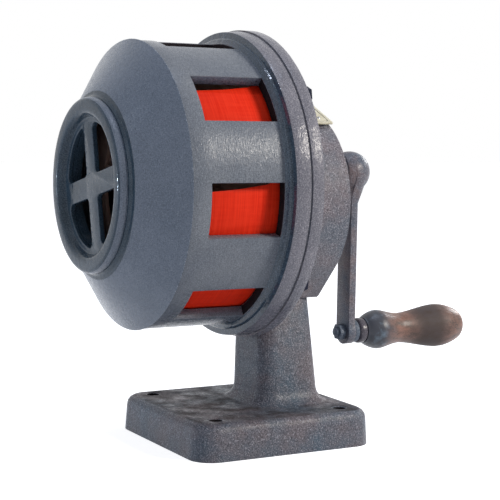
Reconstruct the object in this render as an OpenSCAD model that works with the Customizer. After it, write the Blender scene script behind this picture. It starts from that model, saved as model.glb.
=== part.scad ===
// Hand-cranked siren: cast pedestal, gear case with a two-stage step-up train,
// ported stator with a vaned rotor, bell-mouth intake, crank and turning grip.
// Millimetres, +Z up. The rotor axis runs along Y with the intake at -Y.
// Origin: centre of the four base holes, on the underside.

/* [View] */
// Which piece to draw, or "all"

/* [Rotor axis] */
// Height of the rotor axis over the underside
axis_h = 202; // [196:1:215]
// Stator flange face, measured along Y from the base centre
face_y = -25.6; // [-28:0.1:-24]

/* [Pedestal] */
// Base width across X
base_x = 148; // [140:1:180]
// Base depth along Y
base_y = 155; // [150:1:180]
// Base thickness
base_t = 28; // [20:1:32]
// Base corner radius
base_r = 18; // [10:1:22]
// Hole spacing across X
hole_x = 110; // [96:1:112]
// Hole spacing along Y
hole_y = 110; // [96:1:116]
// Rounding of the base's top edge
base_edge = 7; // [4:0.5:9]
// Base hole diameter
hole_d = 10; // [8:0.5:12]
// Metal of the case foot below the drum
foot_gap = 3; // [2:0.5:6]
// Post width across X
post_x = 54; // [48:1:56]
// Post corner radius
post_r = 13; // [8:1:16]
// Post front face, from the flange face
post_front = 26.8; // [25:0.1:28]
// Post rear face at the top, ahead of the rear face of the drum
post_inset = 5; // [4:0.5:8]
// How far the rear face runs out towards the base
post_rake = 10; // [6:1:16]
// Fillet between the post and the base
foot_fillet = 11; // [6:0.5:12]
// How much wider each side of the post gets towards the base
post_flare = 3; // [0:0.5:4]

/* [Gear case] */
// Room between the largest gear and the case
gear_room = 2.1; // [1.5:0.1:4]
// Drum centre below the rotor axis
drum_drop = 13; // [11:0.5:13]
// Room between the crank gear and the rear wall
rear_room = 7.5; // [7:0.5:11]
// Wall thickness
drum_wall = 6; // [5:0.5:6]
// How far the case flange stands out past the stator flange
case_lip = 2; // [1:0.5:6]
// Flange thickness
case_flange_t = 10; // [9:0.5:12]
// Radius of the crank boss
boss_r = 15; // [13:0.5:18]
// Length of the crank boss behind the drum
boss_len = 32.5; // [30:0.5:36]

/* [Stator] */
// Bore radius
stator_bore = 101; // [96:0.5:106]
// Wall of the ported drum
stator_wall = 8; // [6:0.5:10]
// Length of the ported drum in front of the flange
stator_len = 77.8; // [76:0.2:80]
// How far the flange stands out past the drum
flange_lip = 9; // [8:0.5:11]
// Flange thickness
flange_t = 11.7; // [10:0.1:13]
// Gasket thickness
gasket_t = 0.8; // [0.5:0.1:1.5]
// Number of ports
port_count = 8; // [6:1:10]
// Width of a port in degrees
port_w = 21; // [18:0.5:24]
// Angle of the first port's centre
port_at = -7.1; // [-10:0.1:10]
// Solid band of the drum in front of the ports
port_band = 14.8; // [12:0.2:20]
// Rear end of the ports, ahead of the flange face
port_back = 4.4; // [4:0.1:8]

/* [Intake] */
// How far the cone's lip stands out past the drum
cone_lip = 1.3; // [0.5:0.1:3]
// Flat of the nose round the bell ring
nose_flat = 4.6; // [3.5:0.1:8]
// Nose face, ahead of the flange face
nose_front = 104.4; // [100:0.2:110]
// Width of the bell ring's front face
bell_w = 11; // [9:0.5:14]
// How far the bell ring stands out from the nose
bell_len = 9.7; // [8.5:0.1:14]
// Radius of the grille openings
grille_r = 47.5; // [44:0.5:49]
// Width of a grille spoke
spoke_w = 16.7; // [12:0.1:20]
// Turn of the grille cross
grille_turn = 12; // [0:1:45]

/* [Rotor] */
// Gap between the rim and the bore
rim_gap = 0.8; // [0.5:0.1:1.5]
// Rim thickness
rim_t = 4; // [3:0.5:5]
// Gap between the rim's front and the cone's spigot
front_gap = 1.8; // [1:0.1:4]
// Rim rear, ahead of the flange face
rotor_back = 3.4; // [3:0.2:5]
// Angle of the first land's upper edge, halfway along
land_at = 1.5; // [-5:0.1:5]
// Width of a rim window
window_w = 35; // [30:0.5:38]
// Solid band of the rim in front of the windows
window_band = 4; // [3.5:0.5:8]
// Rear end of the rim windows, ahead of the flange face
window_back = 8.5; // [8.5:0.5:14]
// Sideways run of a window from its front end to its rear end
window_skew = 6; // [0:0.5:8]
// Corner radius of a rim window
window_r = 6; // [3:0.5:10]
// Intake eye radius
eye_r = 66; // [60:1:70]
// Vane thickness
vane_t = 3; // [2:0.5:4]

/* [Gears] */
// Module
gear_m = 1.25; // [1.25:0.05:1.25]
// Teeth of the crank gear
crank_z = 68; // [68:1:68]
// Teeth of the layshaft pinion
lay_pz = 12; // [12:1:12]
// Teeth of the layshaft gear
lay_z = 54; // [54:1:54]
// Teeth of the rotor pinion
rotor_z = 12; // [12:1:12]
// Gap between meshing teeth
backlash = 0.2; // [0.16:0.02:0.3]

/* [Crank] */
// Radius of the crank's ball hub
hub_r = 17; // [15:0.2:18]
// Throw from the crank shaft to the grip
throw = 132.2; // [120:0.2:140]
// Arm width
arm_w = 19; // [16:0.5:22]
// Arm thickness
arm_t = 6; // [5:0.5:8]
// Front face of the arm, behind the boss
arm_gap = 9; // [8:0.5:12]
// Eye radius at the grip end
arm_eye = 10.3; // [9.5:0.1:12]

/* [Grip] */
// Radius of the first bulb
bulb_r = 16.4; // [14:0.2:17]
// Radius of the waist
waist_r = 12.5; // [11:0.1:13]
// Radius of the palm swell
palm_r = 18.3; // [16:0.1:19]
// Length of the wooden grip
grip_len = 98.8; // [96:0.2:110]
// Radius of the ferrule
ferrule_r = 10.5; // [9.8:0.1:12]

/* [Fits] */
// Radial clearance of a turning shaft
run_c = 0.04; // [0.02:0.01:0.08]
// End play of a turning piece
play = 0.2; // [0.1:0.05:0.3]

/* [Hidden] */
$fn = 96;
eps = 0.01;
// stator, cone and bell ring
stator_r = stator_bore + stator_wall;
flange_r = stator_r + flange_lip;
port_front = stator_len - port_band;
flange_draft = 1.2;
spigot = 7;
spigot_r = stator_bore - 7;
cone_r = stator_r + cone_lip;
disc_r = grille_r + 2.5;
mouth_r = disc_r + 5;
throat_r = disc_r + 8;
bell_r = mouth_r + bell_w;
nose_r = bell_r + nose_flat;
bell_front = nose_front + bell_len;
// rotor
rotor_r = stator_bore - rim_gap;
rotor_front = stator_len - spigot - front_gap;
window_front = rotor_front - window_band;
rotor_hub_r = 17;
rotor_hub_front = 45;
washer_front = rotor_hub_front + 2;
nut_front = washer_front + 7;
// gear train
gear_a = gear_m * (crank_z + lay_pz) / 2;
gear_b = gear_m * (lay_z + rotor_z) / 2;
lay_h = axis_h - gear_b;
crank_h = lay_h + gear_a;
grip_h = crank_h - throw;
lay_gear_s = 40;
lay_gear_w = 7;
crank_gear_s = 53;
crank_gear_w = 10;
crank_gear_back = crank_gear_s + crank_gear_w;
// gear case
case_front = flange_t + gasket_t;
case_flange_r = flange_r + case_lip;
case_flange_back = case_front + case_flange_t;
drum_z = axis_h - drum_drop;
drum_r = crank_h - drum_z + tip_r(crank_z, -0.4) + gear_room + drum_wall;
drum_back = crank_gear_back + rear_room + drum_wall;
foot_a = 43.5;
foot_t = 8;
foot_drop = drum_drop + drum_r + foot_gap;
post_h = axis_h - foot_drop;
post_back = drum_back - post_inset;
boss_in = crank_gear_back + 1.5;
boss_back = drum_back + boss_len;
lay_boss_in = boss_in + 0.5;
// name plate
plate_at = 66;
plate_x = 34.2;
plate_w = 41.8;
plate_h = 1.6;
plate_shift = 1.9;
plate_s = drum_back - plate_w / 2 - 0.2;
pad_r = drum_r + 0.7;
rivet_in = 8.7;
// bearing plate
bolt_r = 4;
bolt_pcd = flange_r - 8;
plate_r = bolt_pcd - bolt_r - 0.4;
plate_t = 5;
plate_back = case_front + plate_t;
plate_hub_r = 19;
plate_hub_front = -2;
plate_hub_back = 36;
// front of the cone's collar, grille plate
collar = -nose_front - 2.8;
grille_front = bell_front - 6.5;
grille_t = 4;
// 12 x 28 x 8 ball bearings
brg_in = 6;
brg_out = 14;
brg_w = 8;
brg_pitch = 10;
ball_r = 2.38;
ball_n = 7;
brg_a = 0;
brg_b = 27;
// middle of the first rim window
window_mid = land_at + window_w / 2 / rotor_r * 180 / PI;
// shafts
crank_sr = 8;
crank_bush = 10;
lay_sr = 4;
lay_bush = 6;
pin_sr = 4;
// bolts
bolt_at = [39, 141, 219, 321];
foot_bolt_x = 16;
foot_bolt_s = [32, 60];
plate_screw_r = 2.5;
plate_screw_pcd = plate_r - 13.6;
plate_screw_at = [20, 110, 200, 290];
// crank hub
arm_front = boss_back + arm_gap;
hub_s = arm_front + 3;
shaft_end = hub_s + 10;
// grip end
spindle_r = 5;
stud_r = 3.6;
arm_back = arm_front + arm_t;
eye_back = arm_back + 1;
washer_t = 4.8;
ferrule_s = eye_back + washer_t + play;
grip_s = ferrule_s + 7.2;
grip_end = grip_s + grip_len;

blue = [0.42, 0.46, 0.52];
grey = [0.42, 0.41, 0.42];
steel = [0.62, 0.63, 0.65];
bronze = [0.72, 0.52, 0.28];
red = [0.86, 0.2, 0.12];

// children drawn with local z along +Y, measured from the flange face
module along(h = axis_h, x = 0) {
  translate([x, face_y, h]) rotate([-90, 0, 0]) children();
}

// a round bar between two stations
module bar(r, a, b) {
  translate([0, 0, a]) cylinder(r = r, h = b - a);
}

// a round tube between two stations
module tube(ro, ri, a, b) {
  difference() {
    bar(ro, a, b);
    bar(ri, a - 1, b + 1);
  }
}

// a hexagon between two stations
module hex(af, a, b) {
  translate([0, 0, a]) linear_extrude(b - a)
    polygon([for (k = [0:5]) af / sqrt(3) * [cos(60 * k), sin(60 * k)]]);
}

// ---- gear teeth -------------------------------------------------------

function inv(a) = tan(a) * 180 / PI - a;
function half_tooth(z, x, r) =
  let (rp = gear_m * z / 2, rb = rp * cos(20))
  (gear_m * (PI / 2 + 2 * x * tan(20)) - backlash / 2) / (2 * rp) * 180 / PI
  + inv(20) - inv(r > rb ? acos(rb / r) : 0);
function tip_r(z, x) = gear_m * (z / 2 + 1 + x) - 0.1;
function root_r(z, x) = gear_m * (z / 2 - 1.25 + x);
function flank(z, x) =
  let (rb = gear_m * z / 2 * cos(20), ra = max(rb, root_r(z, x) + 0.15), rt = tip_r(z, x))
  [root_r(z, x), ra, (ra + rt) / 2, rt];

module teeth(z, x, at) {
  rr = flank(z, x);
  n = len(rr) - 1;
  polygon([
    for (k = [0:z - 1], j = [0:2 * n + 1])
      let (i = j <= n ? j : 2 * n + 1 - j, s = j <= n ? -1 : 1,
           a = at + 360 * k / z + s * half_tooth(z, x, rr[i]))
      rr[i] * [cos(a), sin(a)]
  ]);
}

// ---- pedestal ---------------------------------------------------------

module plan(w, d, r) {
  square([w - 2 * r, d], center = true);
  square([w, d - 2 * r], center = true);
  for (i = [-1, 1], j = [-1, 1])
    translate([i * (w / 2 - r), j * (d / 2 - r)]) circle(r = r);
}

// a flat slice of the post at height z, grown by g all round
module post_slice(z, g, t = 0.2) {
  r = post_r + g;
  back = post_back + post_rake * (post_h - z) / (post_h - base_t) + g;
  x = post_x / 2 + post_flare * (post_h - z) / (post_h - base_t) + g;
  a = face_y + post_front - g;
  b = face_y + back;
  for (i = [-1, 1], y = [a + r, b - r])
    translate([i * (x - r), y, z]) cylinder(r = r, h = t, $fn = 32);
}

// one step of the foot's fillet, a degrees down from the post
module foot_step(a) {
  post_slice(base_t + foot_fillet * (1 - sin(a)), foot_fillet * (1 - cos(a)));
}

// a flat slice of the base at height z, drawn in by g all round
module base_slice(z, g) {
  translate([0, 0, z]) linear_extrude(0.01)
    plan(base_x - 2 * g, base_y - 2 * g, base_r - g / 2, $fn = 48);
}

module pedestal() {
  color(grey) difference() {
    union() {
      hull() {
        base_slice(0, 0);
        for (a = [0:22.5:90])
          base_slice(base_t - 0.01 - base_edge * (1 - sin(a)), 1.2 + base_edge * (1 - cos(a)));
      }
      // fillet of the post's foot
      hull() {
        post_slice(base_t - 1, foot_fillet);
        foot_step(66);
      }
      hull() {
        foot_step(66);
        foot_step(42);
      }
      hull() {
        foot_step(42);
        foot_step(20);
      }
      hull() {
        foot_step(20);
        foot_step(0);
      }
      hull() {
        foot_step(0);
        post_slice(post_h - 0.2, 0);
      }
    }
    for (i = [-1, 1], j = [-1, 1])
      translate([i * hole_x / 2, j * hole_y / 2, -1]) cylinder(d = hole_d, h = base_t + 2);
    for (i = [-1, 1], s = foot_bolt_s)
      translate([i * foot_bolt_x, face_y + s, post_h - 24]) cylinder(r = bolt_r, h = 30);
  }
}

module housing_bolts() {
  seat = post_h + foot_t;
  for (i = [-1, 1], s = foot_bolt_s)
    translate([i * foot_bolt_x, face_y + s, 0]) {
      color(steel) translate([0, 0, post_h - 22]) cylinder(r = bolt_r, h = seat - post_h + 22);
      color(steel) hex(13, seat, seat + 5.3);
    }
}

// ---- gear case --------------------------------------------------------

// outline of the drum and its foot, shrunk by g; local y points down
module case_plan(g, foot) {
  r = drum_r - g;
  c = r * [cos(foot_a), sin(foot_a)];
  x = c[0] - (foot - drum_drop - c[1]) * tan(foot_a);
  translate([0, drum_drop]) circle(r = r);
  polygon([[-c[0], drum_drop + c[1]], [c[0], drum_drop + c[1]], [x, foot], [-x, foot]]);
}

module gear_housing() {
  floor_z = foot_drop - foot_t;
  color(grey) difference() {
    union() {
      along() bar(case_flange_r, case_front, case_flange_back - 1);
      along() bar(case_flange_r - 1, case_front, case_flange_back);
      along() translate([0, 0, case_front])
        linear_extrude(drum_back - 2 - case_front) case_plan(0, foot_drop);
      along() translate([0, 0, case_front])
        linear_extrude(drum_back - 0.7 - case_front) case_plan(0.7, foot_drop - 0.6);
      along() translate([0, 0, case_front])
        linear_extrude(drum_back - case_front) case_plan(2, foot_drop - 2);
      // pad of the name plate
      panel(3.5, drum_r - drum_wall / 2, pad_r, 2);
      along(crank_h) bar(boss_r, boss_in, boss_back);
      along(lay_h) bar(10, lay_boss_in, drum_back - 1);
    }
    // seat of the bearing plate
    along() bar(plate_r, case_front - 1, plate_back);
    // gear cavity, left solid round the two bosses
    difference() {
      along() translate([0, 0, plate_back - 1])
        linear_extrude(drum_back - drum_wall - plate_back + 1) case_plan(drum_wall, floor_z);
      along(crank_h) bar(boss_r, boss_in, drum_back);
      along(lay_h) bar(10, lay_boss_in, drum_back);
    }
    along(crank_h) bar(crank_bush, boss_in - 1, boss_back + 1);
    along(lay_h) bar(lay_bush, lay_boss_in - 1, lay_boss_in + 9);
    for (a = bolt_at) along() rotate([0, 0, -a]) translate([bolt_pcd, 0, 0])
      bar(bolt_r, case_front - 1, case_flange_back + 1);
    for (a = plate_screw_at) along() rotate([0, 0, -a]) translate([plate_screw_pcd, 0, 0])
      bar(plate_screw_r, plate_back - 1, plate_back + 4);
    for (i = [-1, 1], s = foot_bolt_s)
      translate([i * foot_bolt_x, face_y + s, post_h - 2]) cylinder(r = bolt_r, h = 20);
  }
}

module crank_bushes() {
  color(bronze) along(crank_h) {
    tube(crank_bush, crank_sr + run_c, boss_in, boss_in + 16);
    tube(crank_bush, crank_sr + run_c, boss_back - 16, boss_back);
  }
}

module layshaft_bushes() {
  color(bronze) along(lay_h) {
    tube(lay_bush, lay_sr + run_c, lay_boss_in, lay_boss_in + 9);
    tube(lay_bush, lay_sr + run_c, case_front + 1, case_front + 16);
  }
}

module flange_bolts() {
  color(steel) for (a = bolt_at)
    along() rotate([0, 0, -a]) translate([bolt_pcd, 0, 0]) {
      bar(bolt_r, 3.5, case_flange_back);
      hex(12, case_flange_back, case_flange_back + 4.8);
    }
}

// a flat panel on the case's shoulder, drawn in by g, from depth r0 to r1
module panel(g, r0, r1, r) {
  along(drum_z) rotate([0, 0, -plate_at]) translate([r0, -plate_shift, plate_s])
    rotate([0, 90, 0]) linear_extrude(r1 - r0)
      plan(plate_w - 2 * g, plate_x - 2 * g, r);
}

module name_plate() {
  top = pad_r + plate_h;
  color([0.88, 0.86, 0.76]) difference() {
    panel(0, pad_r, top, 1.2);
    // border line
    difference() {
      panel(2.6, top - 0.3, top + 1, 3);
      panel(3.3, top - 1, top + 2, 2.3);
    }
  }
}

module plate_rivets() {
  color(steel) along(drum_z) rotate([0, 0, -plate_at])
    for (i = [-1, 1], j = [-1, 1])
      translate([pad_r + plate_h, i * (plate_x / 2 - rivet_in) - plate_shift,
                 plate_s + j * (plate_w / 2 - rivet_in)])
        rotate([0, 90, 0]) cylinder(r1 = 1.5, r2 = 0.9, h = 0.8);
}

// ---- bearing plate and bearings ---------------------------------------

module bearing_plate() {
  color(steel) difference() {
    union() {
      along() bar(plate_r, case_front, plate_back);
      along() bar(plate_hub_r, plate_hub_front, plate_hub_back);
      along(lay_h) bar(10, case_front, case_front + 16);
    }
    along() {
      bar(12, plate_hub_front - 1, plate_hub_back + 1);
      bar(brg_out, plate_hub_front - 1, brg_a + brg_w);
      bar(brg_out, brg_b, plate_hub_back + 1);
    }
    along(lay_h) bar(lay_bush, case_front + 1, case_front + 17);
    for (a = plate_screw_at) along() rotate([0, 0, -a]) translate([plate_screw_pcd, 0, 0])
      bar(plate_screw_r, case_front - 1, plate_back + 1);
  }
}

module plate_screws() {
  color(steel) for (a = plate_screw_at)
    along() rotate([0, 0, -a]) translate([plate_screw_pcd, 0, 0]) {
      bar(plate_screw_r, case_front - eps, plate_back + 3.5);
      hex(8, case_front - 3.5, case_front);
    }
}

module race(ro, ri, s) {
  translate([0, 0, s]) rotate_extrude() difference() {
    translate([ri, 0]) square([ro - ri, brg_w]);
    translate([brg_pitch, brg_w / 2]) circle(r = ball_r + run_c, $fn = 48);
  }
}

module bearing_outer_rings() {
  color(steel) along() for (s = [brg_a, brg_b]) race(brg_out, 11.2, s);
}

module bearing_inner_rings() {
  color(steel) along() for (s = [brg_a, brg_b]) race(8.8, brg_in, s);
}

module at_balls() {
  for (k = [0:ball_n - 1]) rotate([0, 0, 360 * k / ball_n]) translate([brg_pitch, 0, 0]) children();
}

module bearing_balls() {
  color(steel) along() for (s = [brg_a, brg_b]) translate([0, 0, s + brg_w / 2])
    at_balls() sphere(r = ball_r, $fn = 48);
}

module bearing_cages() {
  color(bronze) along() for (s = [brg_a, brg_b]) translate([0, 0, s + brg_w / 2])
    difference() {
      tube(10.5, 9.5, -2.7, 2.7);
      at_balls() rotate([0, 90, 0]) cylinder(r = ball_r + 0.03, h = 6, center = true);
    }
}

// ---- stator and intake ------------------------------------------------

module stator() {
  in = stator_bore / 2;
  out = stator_r * 1.2;
  color(blue) difference() {
    along() rotate_extrude() polygon([
      [stator_bore, -stator_len], [stator_r, -stator_len], [stator_r, -4.2],
      [stator_r + 1.1, -3.2], [stator_r + 3, -2.6], [stator_r + 4.2, -1.8], [stator_r + 4.2, 0],
      [flange_r - 1, 0], [flange_r, 1], [flange_r + flange_draft, flange_t],
      [stator_bore, flange_t]
    ]);
    for (k = [0:port_count - 1]) along() rotate([0, 0, -(port_at + 360 * k / port_count)])
      translate([0, 0, -port_front]) linear_extrude(port_front - port_back)
        polygon([for (p = [[in, -1], [out, -1], [out, 1], [in, 1]])
          p[0] * [1, p[1] * tan(port_w / 2)]]);
    for (a = bolt_at) along() rotate([0, 0, -a]) translate([bolt_pcd, 0, 0])
      bar(bolt_r, 3.5, flange_t + 1);
  }
}

module flange_gasket() {
  color([0.16, 0.16, 0.17]) difference() {
    along() tube(flange_r + flange_draft - 0.4, stator_bore, flange_t, case_front);
    for (a = bolt_at) along() rotate([0, 0, -a]) translate([bolt_pcd, 0, 0])
      bar(bolt_r, 3.5, case_front + 1);
  }
}

module intake_cone() {
  color(blue) along() rotate_extrude() polygon([
    [throat_r, collar], [bell_r - 0.6, collar], [bell_r + 0.2, collar + 0.5], [bell_r + 1, collar + 1.5],
    [bell_r + 2.6, -nose_front - 0.4], [nose_r - 0.6, -nose_front], [nose_r, -nose_front + 0.3],
    [cone_r - 1, -stator_len - 0.8], [cone_r, -stator_len], [stator_bore, -stator_len],
    [stator_bore, spigot - stator_len], [spigot_r, spigot - stator_len],
    [spigot_r, -stator_len - 4.4], [throat_r + 8, -nose_front + 5.4],
    [throat_r + 5, -nose_front + 8], [throat_r, -nose_front + 8]
  ]);
}

module intake_ring() {
  color(blue) along() rotate_extrude() polygon([
    [grille_r, -nose_front + 8], [grille_r, -grille_front + grille_t],
    [disc_r, -grille_front + grille_t], [disc_r, -grille_front], [mouth_r - 1.6, -bell_front + 1],
    [mouth_r, -bell_front], [bell_r - 2.6, -bell_front],
    [bell_r - 1.3, -bell_front + 1.2], [bell_r - 0.5, -bell_front + 3.2],
    [bell_r, collar - 0.8], [bell_r - 0.9, collar - 0.5], [bell_r - 0.9, collar],
    [throat_r, collar], [throat_r, -nose_front + 8]
  ]);
}

module quadrant() {
  w = spoke_w / 2;
  c = 4;
  e = 5;
  p = sqrt(pow(grille_r - e, 2) - pow(w + e, 2));
  translate([w + c, w + c]) circle(r = c);
  translate([w + e, p]) circle(r = e);
  translate([p, w + e]) circle(r = e);
  polygon([[w + c, w], [p, w], [p, w + e], [w + e, p], [w, p], [w, w + c], [w + c, w + c]]);
  intersection() {
    circle(r = grille_r);
    polygon([[p, w + e], 2 * [p, w + e], 1.5 * [grille_r, grille_r], 2 * [w + e, p], [w + e, p]]);
  }
}

module intake_grille() {
  color(blue) along() rotate([0, 0, -grille_turn])
    translate([0, 0, -grille_front]) linear_extrude(grille_t) difference() {
      circle(r = disc_r);
      for (k = [0:3]) rotate([0, 0, 90 * k]) quadrant();
    }
}

// ---- rotor ------------------------------------------------------------

// one rim window, flat: x runs forwards, y runs down the rim
module window() {
  r = window_r;
  a = window_front - r;
  b = window_back + r;
  m = (window_front + window_back) / 2;
  w = window_w / 2 - r;
  k = window_skew / 2 * (a - b) / (window_front - window_back);
  // corner centres; the middle one bows the lower edge out a little
  c = [[a, w + k], [m, w + 0.7], [b, w - k], [b, -w - k], [a, -w + k]];
  polygon([for (i = [0:4]) let (d = c[i] - c[(i + 4) % 5], e = c[(i + 1) % 5] - c[i])
    for (t = [0:0.25:i == 1 ? 0 : 1])
      let (n = (1 - t) * d / norm(d) + t * e / norm(e)) c[i] + r * [n[1], -n[0]] / norm(n)]);
}

module rotor() {
  n = port_count;
  color(red) difference() {
    along() union() {
      tube(rotor_r, rotor_r - rim_t, -rotor_front, -rotor_back);
      tube(rotor_r - 1, eye_r, -rotor_front, -rotor_front + 3);
      bar(rotor_r - 1, -rotor_back - 4, -rotor_back);
      bar(rotor_hub_r, -rotor_hub_front, -rotor_back);
      for (k = [0:n - 1]) rotate([0, 0, -(window_mid + 360 * (k + 0.5) / n)])
        translate([rotor_hub_r - 2, -vane_t / 2, -rotor_front + 1])
          cube([rotor_r - rim_t - rotor_hub_r + 3, vane_t, rotor_front - rotor_back - 2]);
    }
    for (k = [0:n - 1]) along() rotate([0, 0, -(window_mid + 360 * k / n)])
      translate([rotor_r - rim_t - 8, 0, 0]) rotate([0, 90, 0]) linear_extrude(20) window();
    along() bar(brg_in, -rotor_hub_front - 1, 0);
    // the vanes start outside the hub in front of it
    along() bar(rotor_hub_r, -rotor_front - 1, -rotor_hub_front);
  }
}

module rotor_shaft() {
  color(steel) along() {
    bar(brg_in, -nut_front - 3, plate_hub_back);
    bar(7.6, brg_a + brg_w, brg_b);
    bar(pin_sr, plate_hub_back - 1, lay_gear_s + lay_gear_w + 2.5);
  }
}

module rotor_spacer() {
  color(steel) along() tube(8.4, brg_in, -rotor_back, brg_a);
}

module rotor_washer() {
  color(steel) along() tube(12, brg_in, -washer_front, -rotor_hub_front);
}

module rotor_nut() {
  color(steel) along() difference() {
    hex(18, -nut_front, -washer_front);
    bar(brg_in, -nut_front - 1, -washer_front + 1);
  }
}

module rotor_pinion() {
  color(steel) along() difference() {
    union() {
      bar(7, brg_b + brg_w + 1, lay_gear_s - 0.5);
      translate([0, 0, lay_gear_s - 0.5]) linear_extrude(lay_gear_w + 1) teeth(rotor_z, 0.4, 105);
    }
    bar(pin_sr, 30, 60);
  }
}

module pinion_clip() {
  color(steel) along() tube(6.5, pin_sr, lay_gear_s + lay_gear_w + 0.5, lay_gear_s + lay_gear_w + 1.5);
}

// ---- layshaft ---------------------------------------------------------

module layshaft() {
  color(steel) along(lay_h) {
    bar(lay_sr, case_front + 1.5, lay_boss_in + 8.5);
    bar(lay_sr + 1, case_front + 16 + play, lay_gear_s);
  }
}

module lay_gear() {
  color(steel) along(lay_h) difference() {
    union() {
      translate([0, 0, lay_gear_s]) linear_extrude(lay_gear_w) teeth(lay_z, -0.4, 270);
      bar(10, lay_gear_s, lay_gear_s + lay_gear_w + 5);
    }
    bar(lay_sr, 30, 60);
    for (k = [0:4]) rotate([0, 0, 72 * k + 54]) translate([19.5, 0, 0]) bar(6.5, 30, 50);
  }
}

module lay_pinion() {
  color(steel) along(lay_h) difference() {
    union() {
      translate([0, 0, crank_gear_s - 1]) linear_extrude(crank_gear_w + 1) teeth(lay_pz, 0.4, 15);
      bar(6.4, crank_gear_back, lay_boss_in - play);
    }
    bar(lay_sr, 30, 80);
  }
}

// ---- crank ------------------------------------------------------------

module crank_gear() {
  color(steel) along(crank_h) difference() {
    union() {
      translate([0, 0, crank_gear_s]) linear_extrude(crank_gear_w) teeth(crank_z, -0.4, 90);
    }
    bar(crank_sr, 30, 80);
    for (k = [0:5]) rotate([0, 0, 60 * k]) translate([25.5, 0, 0]) bar(8, 30, 80);
    // recessed web
    tube(37, 13.5, crank_gear_s + 7, crank_gear_back + 1);
  }
}

module gear_washer() {
  color(bronze) along(crank_h) tube(13, crank_sr + run_c, crank_gear_back + play, boss_in);
}

module crank_washer() {
  color(steel) along(crank_h) tube(13, crank_sr + run_c, boss_back, boss_back + 2.8);
}

module crank_shaft() {
  color(steel) difference() {
    along(crank_h) {
      bar(crank_sr, crank_gear_s - 1, shaft_end);
      bar(crank_sr + 2.5, crank_gear_s - 3, crank_gear_s);
    }
    cross_pin();
  }
}

// the pin that holds the arm on its shaft
module cross_pin() {
  translate([-hub_r + 0.6, face_y + hub_s, crank_h]) rotate([0, 90, 0]) cylinder(r = 2.5, h = 26);
}

module crank_arm() {
  hub_front = boss_back + 3;
  color(grey) difference() {
    union() {
      along(crank_h) intersection() {
        translate([0, -0.5, hub_s]) sphere(r = hub_r);
        bar(30, hub_front, hub_s + 20);
      }
      along(crank_h) translate([0, 0, arm_front]) linear_extrude(arm_t) {
        circle(r = hub_r);
        polygon([[-hub_r + 0.8, 4], [hub_r - 0.8, 4], [arm_w / 2, 21], [arm_w / 2, throw],
                 [-arm_w / 2, throw], [-arm_w / 2, 21]]);
      }
      along(grip_h) bar(arm_eye, arm_front, eye_back);
      along(crank_h) hull() {
        translate([0, 5, hub_s + 1]) sphere(r = hub_r - 3.8, $fn = 32);
        translate([-arm_w / 2, 24, arm_front]) cube([arm_w, 1, arm_t]);
      }
    }
    along(crank_h) bar(30, hub_front - 20, hub_front);
    along(crank_h) bar(crank_sr, hub_front - 1, shaft_end);
    along(grip_h) bar(stud_r, arm_front - 5, eye_back + 5);
    cross_pin();
    translate([-hub_r - 9, face_y + hub_s, crank_h]) rotate([0, 90, 0]) cylinder(r = 2.5, h = 10);
  }
}

module crank_pin() {
  color(steel) cross_pin();
}

// ---- grip -------------------------------------------------------------

module spindle_nut() {
  color(steel) along(grip_h) difference() {
    hex(12, arm_front - 5.5, arm_front);
    bar(stud_r, arm_front - 9, arm_front + 1);
  }
}

module grip_spindle() {
  color(steel) along(grip_h) {
    bar(stud_r, arm_front - 7.8, eye_back);
    bar(spindle_r, eye_back, grip_end - 8);
    bar(8, grip_end - 8, grip_end - 4.5);
  }
}

module grip_washer() {
  color(steel) along(grip_h) tube(arm_eye - 0.9, spindle_r, eye_back, eye_back + washer_t);
}

module grip_ferrule() {
  color(grey) along(grip_h) tube(ferrule_r, spindle_r + run_c, ferrule_s, grip_s);
}

// half profile of the wooden grip: [station, radius]
grip_pts = [
  [0, 10.8], [1.2, 11.3], [2.6, 12.3], [4.4, 13.4], [6.8, 14.5], [9.8, 15.6], [13, bulb_r],
  [17, bulb_r - 0.2], [22, bulb_r - 1.4], [28, waist_r + 1], [35, waist_r], [42, waist_r + 0.6],
  [49, palm_r - 4.1], [57, palm_r - 2.5], [65, palm_r - 1], [73, palm_r], [80, palm_r - 0.3],
  [86, palm_r - 1.6], [91, palm_r - 3.3], [94.8, palm_r - 5], [97.2, palm_r - 6.6], [98.8, palm_r - 8.6]
];

module grip() {
  k = grip_len / 98.8;
  color([0.3, 0.18, 0.12]) along(grip_h) difference() {
    rotate_extrude() polygon(concat(
      [[0, grip_s]], [for (p = grip_pts) [p[1], grip_s + k * p[0]]], [[0, grip_end]]));
    bar(spindle_r + run_c, grip_s - 1, grip_end + 1);
    bar(8.6, grip_end - 8 - play, grip_end + 1);
  }
}

pedestal();
housing_bolts();
gear_housing();
crank_bushes();
layshaft_bushes();
flange_bolts();
name_plate();
plate_rivets();
bearing_plate();
plate_screws();
bearing_outer_rings();
bearing_inner_rings();
bearing_balls();
bearing_cages();
stator();
flange_gasket();
intake_cone();
intake_ring();
intake_grille();
rotor();
rotor_shaft();
rotor_spacer();
rotor_washer();
rotor_nut();
rotor_pinion();
pinion_clip();
layshaft();
lay_gear();
lay_pinion();
crank_gear();
gear_washer();
crank_washer();
crank_shaft();
crank_arm();
crank_pin();
spindle_nut();
grip_spindle();
grip_washer();
grip_ferrule();
grip();
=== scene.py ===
"""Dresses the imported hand-cranked siren: rounded castings, enamel, bare metal and turned wood.

Sizes in the classes are millimetres. Places come from the frame, which is in metres.
Y runs along the rotor axis with the intake at -Y; a station is a distance along Y from
the stator's flange face, and an angle round the axis counts from +X towards +Z.
"""

import logging
import math
from dataclasses import dataclass
from enum import Enum
from typing import Any, Callable, Iterable, Optional, Sequence

import bmesh
import bpy
from mathutils import Matrix, Vector

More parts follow.
